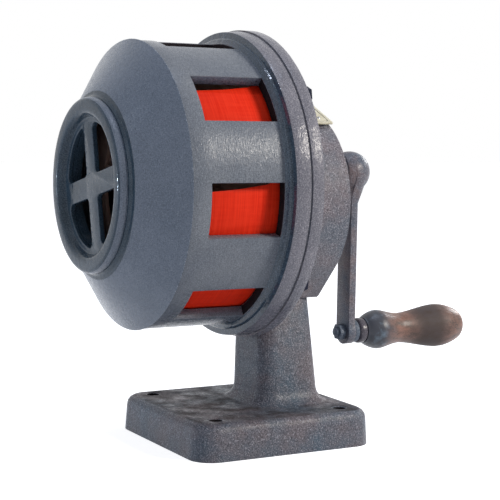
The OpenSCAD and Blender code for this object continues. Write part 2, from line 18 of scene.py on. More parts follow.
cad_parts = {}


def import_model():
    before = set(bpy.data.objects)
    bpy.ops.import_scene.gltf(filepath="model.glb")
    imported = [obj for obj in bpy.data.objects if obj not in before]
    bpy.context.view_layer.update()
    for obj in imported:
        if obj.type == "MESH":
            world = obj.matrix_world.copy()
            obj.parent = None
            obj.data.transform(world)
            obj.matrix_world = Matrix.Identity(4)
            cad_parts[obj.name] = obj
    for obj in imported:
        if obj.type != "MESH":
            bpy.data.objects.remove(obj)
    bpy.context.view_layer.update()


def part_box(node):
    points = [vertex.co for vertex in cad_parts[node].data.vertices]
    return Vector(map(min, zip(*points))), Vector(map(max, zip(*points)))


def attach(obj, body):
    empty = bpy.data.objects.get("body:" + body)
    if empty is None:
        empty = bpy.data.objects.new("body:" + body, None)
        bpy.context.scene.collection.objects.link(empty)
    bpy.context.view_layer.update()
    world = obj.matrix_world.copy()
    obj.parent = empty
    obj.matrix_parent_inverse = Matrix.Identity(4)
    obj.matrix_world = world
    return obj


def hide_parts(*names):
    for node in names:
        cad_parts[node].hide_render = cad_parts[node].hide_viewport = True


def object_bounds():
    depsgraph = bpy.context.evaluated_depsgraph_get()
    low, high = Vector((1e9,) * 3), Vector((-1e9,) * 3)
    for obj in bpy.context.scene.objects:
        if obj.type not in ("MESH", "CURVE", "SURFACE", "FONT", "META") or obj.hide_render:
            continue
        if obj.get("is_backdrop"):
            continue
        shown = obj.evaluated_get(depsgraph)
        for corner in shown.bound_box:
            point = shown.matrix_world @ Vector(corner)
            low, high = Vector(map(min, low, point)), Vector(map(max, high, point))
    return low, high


log = logging.getLogger("siren")

MM = 0.001

# Points nearer than this, in metres, become one. Faces that meet at less than the flat angle
# become one, and an edge counts as sharp above the sharp angle. An arc has so many facets.
MERGE = 1e-6
FLAT_DEG = 0.4
SHARP_DEG = 32.0
ARC_STEPS = 4

# The numbers of a Mix node's sockets for colours: share, first colour, second colour, result.
SHARE, UNDER, OVER, MIXED = 0, 6, 7, 2

Corner = tuple[float, float, float]
EdgeTest = Callable[[bmesh.types.BMEdge], bool]
FaceTest = Callable[[bmesh.types.BMFace], bool]


class Body(Enum):
    """The bodies of the frame that new pieces ride on."""

    CASE = "body"
    ROTOR = "rotor_body"
    CRANK = "crank_body"
    GRIP = "grip_body"


class Slot(Enum):
    """The record's material slots; the script gives no piece one of them."""

    BLUE_ENAMEL = "blue_enamel"
    GREY_ENAMEL = "grey_enamel"
    RED_ENAMEL = "red_enamel"
    ZINC_STEEL = "zinc_steel"
    CREAM_PLATE = "cream_plate"
    GASKET = "gasket"
    STAINED_WOOD = "stained_wood"


# ---- materials -------------------------------------------------------------


def linear(colour: str) -> tuple[float, float, float, float]:
    """Turns an sRGB hex colour to linear light.

    Args:
        colour: six hex digits, with or without a leading #.

    Returns:
        Linear red, green, blue and a full alpha.
    """
    digits = colour.lstrip("#")
    channels = [int(digits[i : i + 2], 16) / 255 for i in (0, 2, 4)]
    lin = [c / 12.92 if c <= 0.04045 else ((c + 0.055) / 1.055) ** 2.4 for c in channels]
    return (lin[0], lin[1], lin[2], 1.0)


def per_metre(size_mm: float) -> float:
    """Turns the real size of a pattern's lumps, in millimetres, to its scale."""
    return 1 / (size_mm * MM)


def add(tree: bpy.types.NodeTree, kind: str, settings: Optional[dict[Any, Any]] = None,
        links: Optional[dict[Any, Any]] = None) -> bpy.types.Node:
    """Adds one node with its settings and links.

    Args:
        tree: the node tree that gets the node.
        kind: the node's type, without the leading ShaderNode.
        settings: values by the name of a property or by the name or number of an input. A
            hex colour is turned to linear light. The name "stops" sets a colour ramp's two
            pairs of position and hex colour or grey level.
        links: what feeds each input, by its name or number: an output, or a node, which
            stands for its first output.

    Returns:
        The new node.
    """
    made = tree.nodes.new("ShaderNode" + kind)
    for name, value in (settings or {}).items():
        if name == "stops":
            for element, (position, shade) in zip(made.color_ramp.elements, value):
                element.position = position
                grey = (shade, shade, shade, 1)
                element.color = linear(shade) if isinstance(shade, str) else grey
        elif isinstance(name, str) and hasattr(made, name):
            setattr(made, name, value)
        else:
            made.inputs[name].default_value = linear(value) if isinstance(value, str) else value
    for name, source in (links or {}).items():
        output = source.outputs[0] if isinstance(source, bpy.types.Node) else source
        tree.links.new(output, made.inputs[name])
    return made


def start(name: str) -> tuple[bpy.types.Material, bpy.types.NodeTree, bpy.types.NodeSocket]:
    """Starts a node material.

    Args:
        name: the material's name.

    Returns:
        The material, its empty tree and the output of the object coordinates.
    """
    material = bpy.data.materials.new(name)
    material.use_nodes = True
    material.node_tree.nodes.clear()
    where = add(material.node_tree, "TexCoord").outputs["Object"]
    return material, material.node_tree, where


@dataclass(frozen=True)
class GlossEnamel:
    """Glossy brushed enamel over sand-cast iron: even colour, orange peel, soft highlights."""

    name: str
    light: str
    dark: str
    speck: str
    pit: str
    blotch_mm: float = 26.0
    fleck_mm: float = 0.9
    peel_mm: float = 1.0
    peel_depth_mm: float = 0.22
    lump_mm: float = 4.5
    lump_depth_mm: float = 0.2
    sheen_mm: float = 3.2
    drag: float = 4.0
    roughness: float = 0.25
    smoother: float = 0.06
    rougher: float = 0.1
    gloss: float = 0.3
    ior: float = 1.5
    coat: float = 0.0
    coat_roughness: float = 0.05

    def build(self) -> bpy.types.Material:
        """Makes the material; the brush drags its marks out round the turning axis.

        Returns:
            The material.
        """
        material, tree, where = start(self.name)
        blotch = add(tree, "TexNoise", {"Scale": per_metre(self.blotch_mm), "Detail": 3.0},
                     {"Vector": where})
        tint = add(tree, "ValToRGB", {"stops": ((0.3, self.dark), (0.7, self.light))},
                   {"Fac": blotch})
        # Real specks of dust are finer; these are as coarse as they need to be to show.
        fleck = add(tree, "TexNoise", {"Scale": per_metre(self.fleck_mm), "Roughness": 0.7},
                    {"Vector": where})
        pitted = add(tree, "ValToRGB", {"stops": ((0.32, 0.8), (0.48, 0.0))}, {"Fac": fleck})
        dusty = add(tree, "Mix", {"data_type": "RGBA", OVER: self.pit},
                    {SHARE: pitted, UNDER: tint})
        specked = add(tree, "ValToRGB", {"stops": ((0.52, 0.0), (0.72, 0.8))}, {"Fac": fleck})
        colour = add(tree, "Mix", {"data_type": "RGBA", OVER: self.speck},
                     {SHARE: specked, UNDER: dusty.outputs[MIXED]})
        cloud = add(tree, "TexNoise", {"Scale": per_metre(self.sheen_mm), "Detail": 3.0},
                    {"Vector": where})
        sheen = add(tree, "ValToRGB", {"stops": ((0.3, self.roughness - self.smoother),
                                                 (0.75, self.roughness + self.rougher))},
                    {"Fac": cloud})
        lump = add(tree, "TexNoise", {"Scale": per_metre(self.lump_mm)}, {"Vector": where})
        lumps = add(tree, "Bump", {"Distance": self.lump_depth_mm * MM}, {"Height": lump})
        dragged = add(tree, "Mapping", {"Scale": (1 / self.drag, 1.0, 1 / self.drag)},
                      {"Vector": where})
        peel = add(tree, "TexNoise", {"Scale": per_metre(self.peel_mm), "Roughness": 0.6},
                   {"Vector": dragged})
        skin = add(tree, "Bump", {"Distance": self.peel_depth_mm * MM},
                   {"Height": peel, "Normal": lumps})
        shader = add(tree, "BsdfPrincipled",
                     {"IOR": self.ior, "Specular IOR Level": self.gloss, "Coat Weight": self.coat,
                      "Coat Roughness": self.coat_roughness},
                     {"Base Color": colour.outputs[MIXED], "Roughness": sheen, "Normal": skin,
                      "Coat Normal": skin})
        add(tree, "OutputMaterial", links={"Surface": shader})
        return material


@dataclass(frozen=True)
class CastPaint:
    """Thin satin paint over rough sand-cast iron: sandy grain, brown and grey patches, and painted
    glints on the sand's peaks.
    """

    name: str
    cool: str
    warm: str
    deep: str
    painted_glint: str
    patch_mm: float = 38.0
    sand_mm: float = 1.1
    sand_depth_mm: float = 0.3
    lump_mm: float = 6.0
    lump_depth_mm: float = 0.5
    sheen_mm: float = 2.4
    roughness: float = 0.38
    smoother: float = 0.1
    rougher: float = 0.12
    gloss: float = 0.25
    rust: str = ""
    rust_mm: float = 16.0
    rust_most: float = 0.78
    rust_roughness: float = 0.5

    def rusted_and_shaded(self, tree: bpy.types.NodeTree, where: bpy.types.NodeSocket,
               paint: bpy.types.NodeSocket, rough: bpy.types.Node
               ) -> tuple[bpy.types.NodeSocket, bpy.types.Node]:
        """Lays patches of rust over the paint on the faces that look up; they also paint in the
        shade that the drum casts on the base's top.

        Args:
            tree: the node tree.
            where: the object coordinates.
            paint: the colour of the paint.
            rough: the roughness of the paint.

        Returns:
            The colour and the roughness with the rust.
        """
        normal = add(tree, "TexCoord").outputs["Normal"]
        facing = add(tree, "SeparateXYZ", links={"Vector": normal}).outputs["Z"]
        level = add(tree, "ValToRGB", {"stops": ((0.9, 0.0), (0.98, self.rust_most))},
                    {"Fac": facing})
        bloom = add(tree, "TexNoise", {"Scale": per_metre(self.rust_mm), "Detail": 4.0,
                                       "Roughness": 0.6}, {"Vector": where})
        spread = add(tree, "ValToRGB", {"stops": ((0.36, 0.0), (0.62, 1.0))}, {"Fac": bloom})
        share = add(tree, "Math", {"operation": "MULTIPLY"}, {0: level, 1: spread})
        colour = add(tree, "Mix", {"data_type": "RGBA", OVER: self.rust},
                     {SHARE: share, UNDER: paint})
        dull = add(tree, "Math", {"operation": "MULTIPLY_ADD", "use_clamp": True,
                                  1: self.rust_roughness}, {0: share, 2: rough})
        return colour.outputs[MIXED], dull

    def build(self) -> bpy.types.Material:
        """Makes the material.

        Returns:
            The material.
        """
        material, tree, where = start(self.name)
        patch = add(tree, "TexNoise", {"Scale": per_metre(self.patch_mm), "Detail": 4.0,
                                       "Roughness": 0.6}, {"Vector": where})
        tint = add(tree, "ValToRGB", {"stops": ((0.36, self.cool), (0.62, self.warm))},
                   {"Fac": patch})
        # Real moulding sand is finer; its grains are as coarse as they need to be to show.
        sand = add(tree, "TexNoise", {"Scale": per_metre(self.sand_mm), "Roughness": 0.7},
                   {"Vector": where})
        low = add(tree, "ValToRGB", {"stops": ((0.3, 1.0), (0.47, 0.0))}, {"Fac": sand})
        pits = add(tree, "Mix", {"data_type": "RGBA", OVER: self.deep}, {SHARE: low, UNDER: tint})
        # Painted glints: the peaks of the sand take a pale colour that stands in for the lamps'
        # sparkle.
        high = add(tree, "ValToRGB", {"stops": ((0.54, 0.0), (0.7, 0.9))}, {"Fac": sand})
        tops = add(tree, "Mix", {"data_type": "RGBA", OVER: self.painted_glint},
                   {SHARE: high, UNDER: pits.outputs[MIXED]}).outputs[MIXED]
        cloud = add(tree, "TexNoise", {"Scale": per_metre(self.sheen_mm)}, {"Vector": where})
        rough = add(tree, "ValToRGB", {"stops": ((0.3, self.roughness - self.smoother),
                                                 (0.7, self.roughness + self.rougher))},
                    {"Fac": cloud})
        if self.rust:
            tops, rough = self.rusted_and_shaded(tree, where, tops, rough)
        lump = add(tree, "TexNoise", {"Scale": per_metre(self.lump_mm)}, {"Vector": where})
        lumps = add(tree, "Bump", {"Distance": self.lump_depth_mm * MM}, {"Height": lump})
        skin = add(tree, "Bump", {"Distance": self.sand_depth_mm * MM},
                   {"Height": sand, "Normal": lumps})
        shader = add(tree, "BsdfPrincipled", {"Specular IOR Level": self.gloss},
                     {"Base Color": tops, "Roughness": rough, "Normal": skin})
        add(tree, "OutputMaterial", links={"Surface": shader})
        return material


@dataclass(frozen=True)
class BrushedEnamel:
    """Red-orange enamel brushed round the rotor's rim, with a pale colour inside it as painted
    light in the dim hollow. The axis's height and the rim's radius are in metres."""

    name: str
    light: str
    dark: str
    inside: str
    axis_z: float
    rim_r: float
    streak_mm: float = 0.9
    run_mm: float = 40.0
    streak_depth_mm: float = 0.05
    streak_share: float = 0.68
    patch_mm: float = 2.4
    stroke_mm: float = 9.0
    edge_mm: tuple[float, float] = (1.2, 0.6)
    roughness: float = 0.42
    uneven: float = 0.15
    gloss: float = 0.08

    def build(self) -> bpy.types.Material:
        """Makes the material.

        Returns:
            The material.
        """
        material, tree, where = start(self.name)
        thin = self.streak_mm / self.run_mm
        dragged = add(tree, "Mapping", {"Scale": (thin, 1.0, thin)}, {"Vector": where})
        # Real bristles leave finer marks; these are as coarse as they need to be to show.
        streaks = add(tree, "TexNoise", {"Scale": per_metre(self.streak_mm), "Roughness": 0.6},
                      {"Vector": dragged})
        strokes = add(tree, "Mapping", {"Scale": (1.0, self.streak_mm / self.stroke_mm, 1.0)},
                      {"Vector": where})
        patches = add(tree, "TexNoise", {"Scale": per_metre(self.patch_mm), "Detail": 3.0},
                      {"Vector": strokes})
        tone = add(tree, "Math", {"operation": "MULTIPLY_ADD", 1: self.streak_share, 2: 0.0},
                   {0: streaks})
        both = add(tree, "Math", {"operation": "MULTIPLY_ADD", 1: 1 - self.streak_share},
                   {0: patches, 2: tone})
        paint = add(tree, "ValToRGB", {"stops": ((0.38, self.dark), (0.6, self.light))},
                    {"Fac": both})
        spoke = add(tree, "Mapping", {"Location": (0, 0, -self.axis_z), "Scale": (1, 0, 1)},
                    {"Vector": where})
        reach = add(tree, "VectorMath", {"operation": "LENGTH"}, {0: spoke}).outputs["Value"]
        bare, full = self.edge_mm
        painted = add(tree, "MapRange", {"From Min": self.rim_r - bare * MM,
                                         "From Max": self.rim_r - full * MM}, {"Value": reach})
        # Inside the rim the pale colour stands in for light in the dim hollow; it is painted light.
        colour = add(tree, "Mix", {"data_type": "RGBA", UNDER: self.inside},
                     {SHARE: painted, OVER: paint})
        sheen = add(tree, "ValToRGB", {"stops": ((0.3, self.roughness),
                                                 (0.7, self.roughness + self.uneven))},
                    {"Fac": streaks})
        skin = add(tree, "Bump", {"Distance": self.streak_depth_mm * MM}, {"Height": streaks})
        shader = add(tree, "BsdfPrincipled", {"Specular IOR Level": self.gloss},
                     {"Base Color": colour.outputs[MIXED], "Roughness": sheen, "Normal": skin})
        add(tree, "OutputMaterial", links={"Surface": shader})
        return material


@dataclass(frozen=True)
class BareMetal:
    """Turned, ground or plated metal: fine tool marks and a little tarnish."""

    name: str
    colour: str
    tarnish: str
    roughness: float
    mark_mm: float = 0.5
    mark_depth_mm: float = 0.02
    stain_mm: float = 5.0
    uneven: float = 0.15

    def build(self) -> bpy.types.Material:
        """Makes the material.

        Returns:
            The material.
        """
        material, tree, where = start(self.name)
        cloud = add(tree, "TexNoise", {"Scale": per_metre(self.stain_mm), "Detail": 4.0,
                                       "Roughness": 0.6}, {"Vector": where})
        stain = add(tree, "ValToRGB", {"stops": ((0.35, self.tarnish), (0.6, self.colour))},
                    {"Fac": cloud})
        # Real tool marks are finer; these are as coarse as they need to be to show.
        marks = add(tree, "TexNoise", {"Scale": per_metre(self.mark_mm)}, {"Vector": where})
        sheen = add(tree, "ValToRGB", {"stops": ((0.3, self.roughness),
                                                 (0.7, self.roughness + self.uneven))},
                    {"Fac": marks})
        skin = add(tree, "Bump", {"Distance": self.mark_depth_mm * MM}, {"Height": marks})
        shader = add(tree, "BsdfPrincipled", {"Metallic": 1.0},
                     {"Base Color": stain, "Roughness": sheen, "Normal": skin})
        add(tree, "OutputMaterial", links={"Surface": shader})
        return material


@dataclass(frozen=True)
class TurnedWood:
    """Dark stained beech: varnish left at the ends, painted lighter there as highlight, hand-worn,
    darker and dull in the palm, with grain along the grip and patchy paint spray on its inner end."""

    name: str
    light: str
    dark: str
    worn: str
    spray: str
    spray_dark: str
    spray_from: float
    spray_to: float
    palm_at: float
    palm_half: float
    palm_core: float = 0.2
    fibre_mm: float = 0.8
    fibre_run_mm: float = 1.7
    fibre_depth_mm: float = 0.06
    fibre_share: float = 0.45
    figure_mm: float = 5.0
    patch_mm: float = 6.0
    patch_gain: float = 1.2
    patch_offset: float = -0.4
    drop_mm: float = 7.0
    dent_mm: float = 1.3
    dent_depth_mm: float = 0.1
    glossy: float = 0.3
    dull: float = 0.62
    fibre_roughness: float = 0.2

    def sprayed(self, tree: bpy.types.NodeTree, where: bpy.types.NodeSocket,
                station: bpy.types.NodeSocket, wood: bpy.types.NodeSocket) -> bpy.types.NodeSocket:
        """Lays patches of paint spray over the wood, fading out along the grip.

        Args:
            tree: the node tree.
            where: the object coordinates.
            station: the place along Y.
            wood: the colour of the wood.

        Returns:
            The colour with the spray.
        """
        fade = add(tree, "MapRange", {"From Min": self.spray_from, "From Max": self.spray_to,
                                      "To Min": 1.0, "To Max": 0.0}, {"Value": station})
        patch = add(tree, "TexNoise", {"Scale": per_metre(self.patch_mm), "Detail": 4.0,
                                       "Roughness": 0.65}, {"Vector": where})
        patchy = add(tree, "Math", {"operation": "MULTIPLY_ADD", 1: self.patch_gain,
                                    2: self.patch_offset}, {0: patch})
        spread = add(tree, "Math", {"operation": "ADD", "use_clamp": True}, {0: fade, 1: patchy})
        cover = add(tree, "Math", {"operation": "MULTIPLY", "use_clamp": True},
                    {0: spread, 1: fade})
        drops = add(tree, "TexNoise", {"Scale": per_metre(self.drop_mm), "Detail": 3.0},
                    {"Vector": where})
        paint = add(tree, "ValToRGB", {"stops": ((0.5, self.spray_dark), (0.72, self.spray))},
                    {"Fac": drops})
        mixed = add(tree, "Mix", {"data_type": "RGBA"}, {SHARE: cover, UNDER: wood, OVER: paint})
        return mixed.outputs[MIXED]

    def build(self) -> bpy.types.Material:
        """Makes the material; spray and palm places are along Y, in metres.

        Returns:
            The material.
        """
        material, tree, where = start(self.name)
        along = add(tree, "Mapping", {"Scale": (1.0, self.fibre_mm / self.fibre_run_mm, 1.0)},
                    {"Vector": where})
        # Real fibres are finer; these are as coarse as they need to be to show.
        fibre = add(tree, "TexNoise", {"Scale": per_metre(self.fibre_mm), "Detail": 3.0,
                                       "Roughness": 0.7}, {"Vector": along})
        figure = add(tree, "TexNoise", {"Scale": per_metre(self.figure_mm), "Detail": 3.0,
                                        "Roughness": 0.6}, {"Vector": along})
        tone = add(tree, "Math", {"operation": "MULTIPLY_ADD", 1: self.fibre_share, 2: 0.0},
                   {0: fibre})
        both = add(tree, "Math", {"operation": "MULTIPLY_ADD", 1: 1 - self.fibre_share},
                   {0: figure, 2: tone})
        station = add(tree, "SeparateXYZ", links={"Vector": where}).outputs["Y"]
        off = add(tree, "Math", {"operation": "SUBTRACT", 1: self.palm_at}, {0: station})
        far = add(tree, "Math", {"operation": "ABSOLUTE"}, {0: off})
        palm = add(tree, "MapRange", {"interpolation_type": "SMOOTHSTEP",
                                      "From Min": self.palm_half * self.palm_core,
                                      "From Max": self.palm_half, "To Min": 1.0, "To Max": 0.0},
                   {"Value": far})
        # Away from the palm the wood is lighter; this also paints in the highlights at the waist
        # and the end.
        fresh_and_highlit = add(tree, "ValToRGB", {"stops": ((0.36, self.dark), (0.64, self.light))},
                    {"Fac": both})
        handled = add(tree, "ValToRGB", {"stops": ((0.36, self.dark), (0.64, self.worn))},
                      {"Fac": both})
        wood = add(tree, "Mix", {"data_type": "RGBA"}, {SHARE: palm, UNDER: fresh_and_highlit, OVER: handled})
        sheen = add(tree, "MapRange", {"To Min": self.glossy, "To Max": self.dull}, {"Value": palm})
        rough = add(tree, "Math", {"operation": "MULTIPLY_ADD", 1: self.fibre_roughness},
                    {0: fibre, 2: sheen})
        pores = add(tree, "Bump", {"Distance": self.fibre_depth_mm * MM}, {"Height": fibre})
        dent = add(tree, "TexNoise", {"Scale": per_metre(self.dent_mm)}, {"Vector": where})
        skin = add(tree, "Bump", {"Distance": self.dent_depth_mm * MM},
                   {"Height": dent, "Normal": pores})
        colour = self.sprayed(tree, where, station, wood.outputs[MIXED])
        shader = add(tree, "BsdfPrincipled",
                     links={"Base Color": colour, "Roughness": rough, "Normal": skin})
        add(tree, "OutputMaterial", links={"Surface": shader})
        return material


@dataclass(frozen=True)
class PlateEnamel:
    """Stoved enamel on a thin pressed plate, slightly yellowed and scuffed."""

    name: str
    light: str
    dark: str
    roughness: float = 0.4
    stain_mm: float = 9.0
    sheen_mm: float = 2.0
    wave_mm: float = 4.0
    wave_depth_mm: float = 0.05
    uneven: float = 0.15

    def build(self) -> bpy.types.Material:
        """Makes the material.

        Returns:
            The material.
        """
        material, tree, where = start(self.name)
        cloud = add(tree, "TexNoise", {"Scale": per_metre(self.stain_mm), "Detail": 4.0,
                                       "Roughness": 0.65}, {"Vector": where})
        stain = add(tree, "ValToRGB", {"stops": ((0.32, self.dark), (0.55, self.light))},
                    {"Fac": cloud})
        scuff = add(tree, "TexNoise", {"Scale": per_metre(self.sheen_mm)}, {"Vector": where})
        sheen = add(tree, "ValToRGB", {"stops": ((0.3, self.roughness),
                                                 (0.7, self.roughness + self.uneven))},
                    {"Fac": scuff})
        wave = add(tree, "TexNoise", {"Scale": per_metre(self.wave_mm)}, {"Vector": where})
        skin = add(tree, "Bump", {"Distance": self.wave_depth_mm * MM}, {"Height": wave})
        shader = add(tree, "BsdfPrincipled",
                     links={"Base Color": stain, "Roughness": sheen, "Normal": skin})
        add(tree, "OutputMaterial", links={"Surface": shader})
        return material


class Finishes:
    """Every finish of the siren, built once."""

    def __init__(self, axis_z: float, rotor_r: float, grip_start: float) -> None:
        """Builds the materials.

        Args:
            axis_z: height of the rotor axis.
            rotor_r: radius of the rotor's rim.
            grip_start: place along Y where the wood of the grip starts.
        """
        # Gloss enamel brushed on cast iron: even grey-blue, with soft, rippled highlights.
        self.blue = GlossEnamel("blue_grey_gloss_enamel", "#72777f", "#676d77", "#8f949c",
                                "#52575f", gloss=0.145).build()
        # The same enamel, lighter, a little more blue and shinier: painted light on the cone and
        # the bell's outer side.
        self.lit_blue = GlossEnamel("blue_gloss_enamel_painted_light", "#7a828f", "#6f7885", "#949ca7", "#565f6b",
                                 gloss=0.2).build()
        # The same enamel painted dark as shade on the bell ring, the cone's nose and the grille,
        # which face away from the lamps: dark blue, under a clear coat that takes small sharp
        # glints.
        self.edge = GlossEnamel("blue_enamel_painted_shade", "#3d5060", "#344552", "#5d6c78",
                                "#27333d", roughness=0.13, gloss=0.06, coat=0.3).build()
        # The same enamel painted dark blue as shade on the collar and the flange's front, with a
        # wet shine.
        self.collar = GlossEnamel("blue_enamel_painted_shade_in_the_collar", "#425363", "#374654", "#6c7e92",
                                  "#27333d", roughness=0.1, gloss=0.2, coat=0.3).build()
        # Enamel over coarse sand casting: a lumpy skin that breaks up the highlights.
        self.rim = GlossEnamel("blue_enamel_over_sand_cast", "#7a7982", "#676872", "#aba7ad",
                               "#54535c", peel_mm=1.5, peel_depth_mm=0.34, lump_depth_mm=0.4,
                               gloss=0.24).build()
        # Enamel on the cone's lip with pale flecks: worn paint, and painted glints along the edge.
        self.rubbed_and_glinting = GlossEnamel("worn_enamel_and_painted_glints", "#6e7989", "#636f7f", "#d5dae2", "#4f5866",
                                  peel_depth_mm=0.4).build()
        # Dark enamel on forged bolt heads: nearly black and almost without shine.
        self.lacquer = GlossEnamel("dark_enamel_on_steel", "#2a3042", "#212634", "#454352",
                                   "#191c26", roughness=0.5, gloss=0.03).build()
        # Enamel on turned steel: blue-grey and half matt.
        self.nut = GlossEnamel("blue_grey_enamel_on_steel", "#6a7484", "#58626f", "#858a92",
                               "#3c434e", roughness=0.4, gloss=0.12).build()
        # Painted shade in the bore, the port walls and the base holes: nearly black and dull.
        self.painted_shade = CastPaint("painted_shade_in_recesses", "#1b1a1e", "#201d1f", "#111013", "#2d2a2d",
                               sand_depth_mm=0.1, roughness=0.7, gloss=0.05).build()
        # Painted shade on the ports' upper walls, which face down: flat dark grey with its grain
        # showing.
        self.thin = CastPaint("painted_shade_under_port_roofs", "#566070", "#58606b", "#34373f", "#787c86",
                              sand_depth_mm=0.2, roughness=0.5, gloss=0.1).build()
        # Painted sand casting: cool grey with brown patches and painted glints on its grains.
        self.cast = CastPaint("painted_sand_cast_iron", "#585e69", "#6d6267", "#2f2e36",
                              "#a3a0a8").build()
        # The same, worn: dark brown rust on the faces that look up, which also paints in the shade
        # that the drum casts on the base's top.
        self.foot = CastPaint("rusty_and_shaded_paint_on_sand_cast_iron", "#4a5866", "#625c62", "#282b34",
                              "#9c9ca6", rust="#2e2828").build()
        # Painted forging: grey and brown patches on a smoother skin.
        self.dark = CastPaint("painted_forged_steel", "#4f5866", "#75686a", "#3a3b44", "#8f8f98",
                              patch_mm=24.0, sand_depth_mm=0.12, lump_depth_mm=0.15).build()
        # Enamel on rolled steel sheet, warmed by hands: purple-grey with a soft shine.
        self.ferrule = GlossEnamel("purple_grey_enamel_on_steel", "#57525b", "#46434c", "#716c76",
                                   "#35333b").build()
        # Brushed enamel: bright orange-red, streaked round the rim, with a pale colour inside it as
        # painted light.
        self.red = BrushedEnamel("brushed_red_enamel", "#e8351b", "#d8260d", "#c4a494", axis_z,
                                 rotor_r).build()
        # Zinc plate: pale grey metal with a soft shine.
        self.zinc = BareMetal("zinc_plated_steel", "#b4b6ba", "#8b8d92", 0.32).build()
        # Ground steel: bright metal with fine marks.
        self.ground = BareMetal("ground_steel", "#c9cbce", "#a4a6aa", 0.2, 0.3).build()
        # Cast bronze: brown-gold, a little tarnished.
        self.bronze = BareMetal("cast_bronze", "#b98a52", "#86603a", 0.34).build()
        # Bare cast iron: dull grey with a sandy grain.
        self.iron = CastPaint("grey_cast_iron", "#56565a", "#5e5a58", "#3b3b3e", "#7d7d80",
                              sand_depth_mm=0.12, roughness=0.6).build()
        # Stained and turned beech: warm brown grain, lighter at the ends as painted highlight,
        # darker and dull in the palm, grey spray at one end.
        self.wood = TurnedWood("dark_stained_beech", "#835d4f", "#35261f", "#3f3636", "#5b6b7a",
                               "#2c303b", grip_start + 12 * MM, grip_start + 30 * MM,
                               grip_start + 62 * MM, 26 * MM).build()
        # Stoved enamel on pressed sheet: smooth, cream gone slightly yellow.
        self.cream = PlateEnamel("cream_stoved_enamel", "#d2cdb8", "#bdb69c").build()
        # The same in black, worn to a brown-grey.
        self.ink = PlateEnamel("black_stoved_enamel", "#3a3832", "#2b2a27").build()
        # Rubber painted over: dull blue-grey.
        self.rubber = PlateEnamel("painted_over_gasket", "#4f515a", "#41434c", 0.6).build()


# ---- mesh making -----------------------------------------------------------


@dataclass(frozen=True)
class Axis:
    """A turning axis along Y."""

    x: float
    z: float
    face: float

    def point(self, station: float, radius: float, angle: float) -> Vector:
        """Gives a point in the frame.

        Args:
            station: millimetres along Y from the flange face.
            radius: millimetres from the axis.
            angle: degrees from +X towards +Z.

        Returns:
            The point, in metres.
        """
        a = math.radians(angle)
        return Vector((self.x + radius * MM * math.cos(a), self.face + station * MM,
                       self.z + radius * MM * math.sin(a)))

    def centre(self) -> Vector:
        """Gives the point of the axis at the flange face."""
        return Vector((self.x, self.face, self.z))

    def polar(self, at: Vector) -> tuple[float, float]:
        """Gives the station of a point and its distance from the axis, in millimetres."""
        off = at - self.centre()
        return off.y / MM, math.hypot(off.x, off.z) / MM


def round_corners(bm: bmesh.types.BMesh,
                  corners: Iterable[tuple[bmesh.types.BMVert, float]]) -> None:
    """Rounds corners of a wire profile with the vertex bevel.

    Args:
        bm: the mesh with the wire.
        corners: vertices and their radius in millimetres.
    """
    for vert, radius in corners:
        if radius > 0:
            bmesh.ops.bevel(bm, geom=[vert], offset=radius * MM, offset_type="OFFSET",
                            affect="VERTICES", segments=ARC_STEPS, profile=0.5, material=-1)


def round_edges(bm: bmesh.types.BMesh, edges: Sequence[bmesh.types.BMEdge], width: float,
                segments: int, clamp: bool = False) -> None:
    """Rounds edges of a mesh.

    Args:
        bm: the mesh.
        edges: the edges to round.
        width: bevel width in millimetres.
        segments: facets across a bevel.
        clamp: whether a bevel narrows where it would meet another.
    """
    bmesh.ops.bevel(bm, geom=edges, offset=width * MM, offset_type="OFFSET", affect="EDGES",
                    segments=segments, profile=0.5, material=-1, clamp_overlap=clamp)


def lathe(axis: Axis, profile: Sequence[Corner], steps: int = 144) -> bmesh.types.BMesh:
    """Turns a closed profile round an axis.

    Args:
        axis: the axis to turn round.
        profile: station, radius and corner radius of each corner, in millimetres.
        steps: facets round the axis.

    Returns:
        The turned mesh, with its poles and seam merged and its normals outwards.
    """
    bm = bmesh.new()
    verts = [bm.verts.new(axis.point(s, r, 90.0)) for s, r, _ in profile]
    for a, b in zip(verts, verts[1:] + verts[:1]):
        bm.edges.new((a, b))
    round_corners(bm, [(v, c[2]) for v, c in zip(verts, profile)])
    bmesh.ops.spin(bm, geom=bm.verts[:] + bm.edges[:], cent=axis.centre(), axis=(0, 1, 0),
                   angle=math.tau, steps=steps, use_merge=True)
    bmesh.ops.remove_doubles(bm, verts=bm.verts[:], dist=MERGE)
    bmesh.ops.recalc_face_normals(bm, faces=bm.faces[:])
    return bm


def softened(node: str, width: float, segments: int = 2,
             chosen: Optional[EdgeTest] = None) -> bmesh.types.BMesh:
    """Copies a CAD node and rounds its sharp edges.

    Args:
        node: the node's name.
        width: bevel width in millimetres.
        segments: facets across a bevel.
        chosen: keeps the edges to round; all the sharp ones if left out.

    Returns:
        The rounded copy.
    """
    bm = bmesh.new()
    bm.from_mesh(bpy.data.objects[node].data)
    bmesh.ops.remove_doubles(bm, verts=bm.verts[:], dist=MERGE)
    bmesh.ops.dissolve_limit(bm, angle_limit=math.radians(FLAT_DEG), verts=bm.verts[:],
                             edges=bm.edges[:])
    limit = math.radians(SHARP_DEG)
    edges = [e for e in bm.edges if len(e.link_faces) == 2 and e.calc_face_angle(0.0) > limit
             and (chosen is None or chosen(e))]
    round_edges(bm, edges, width, segments, clamp=True)
    return bm


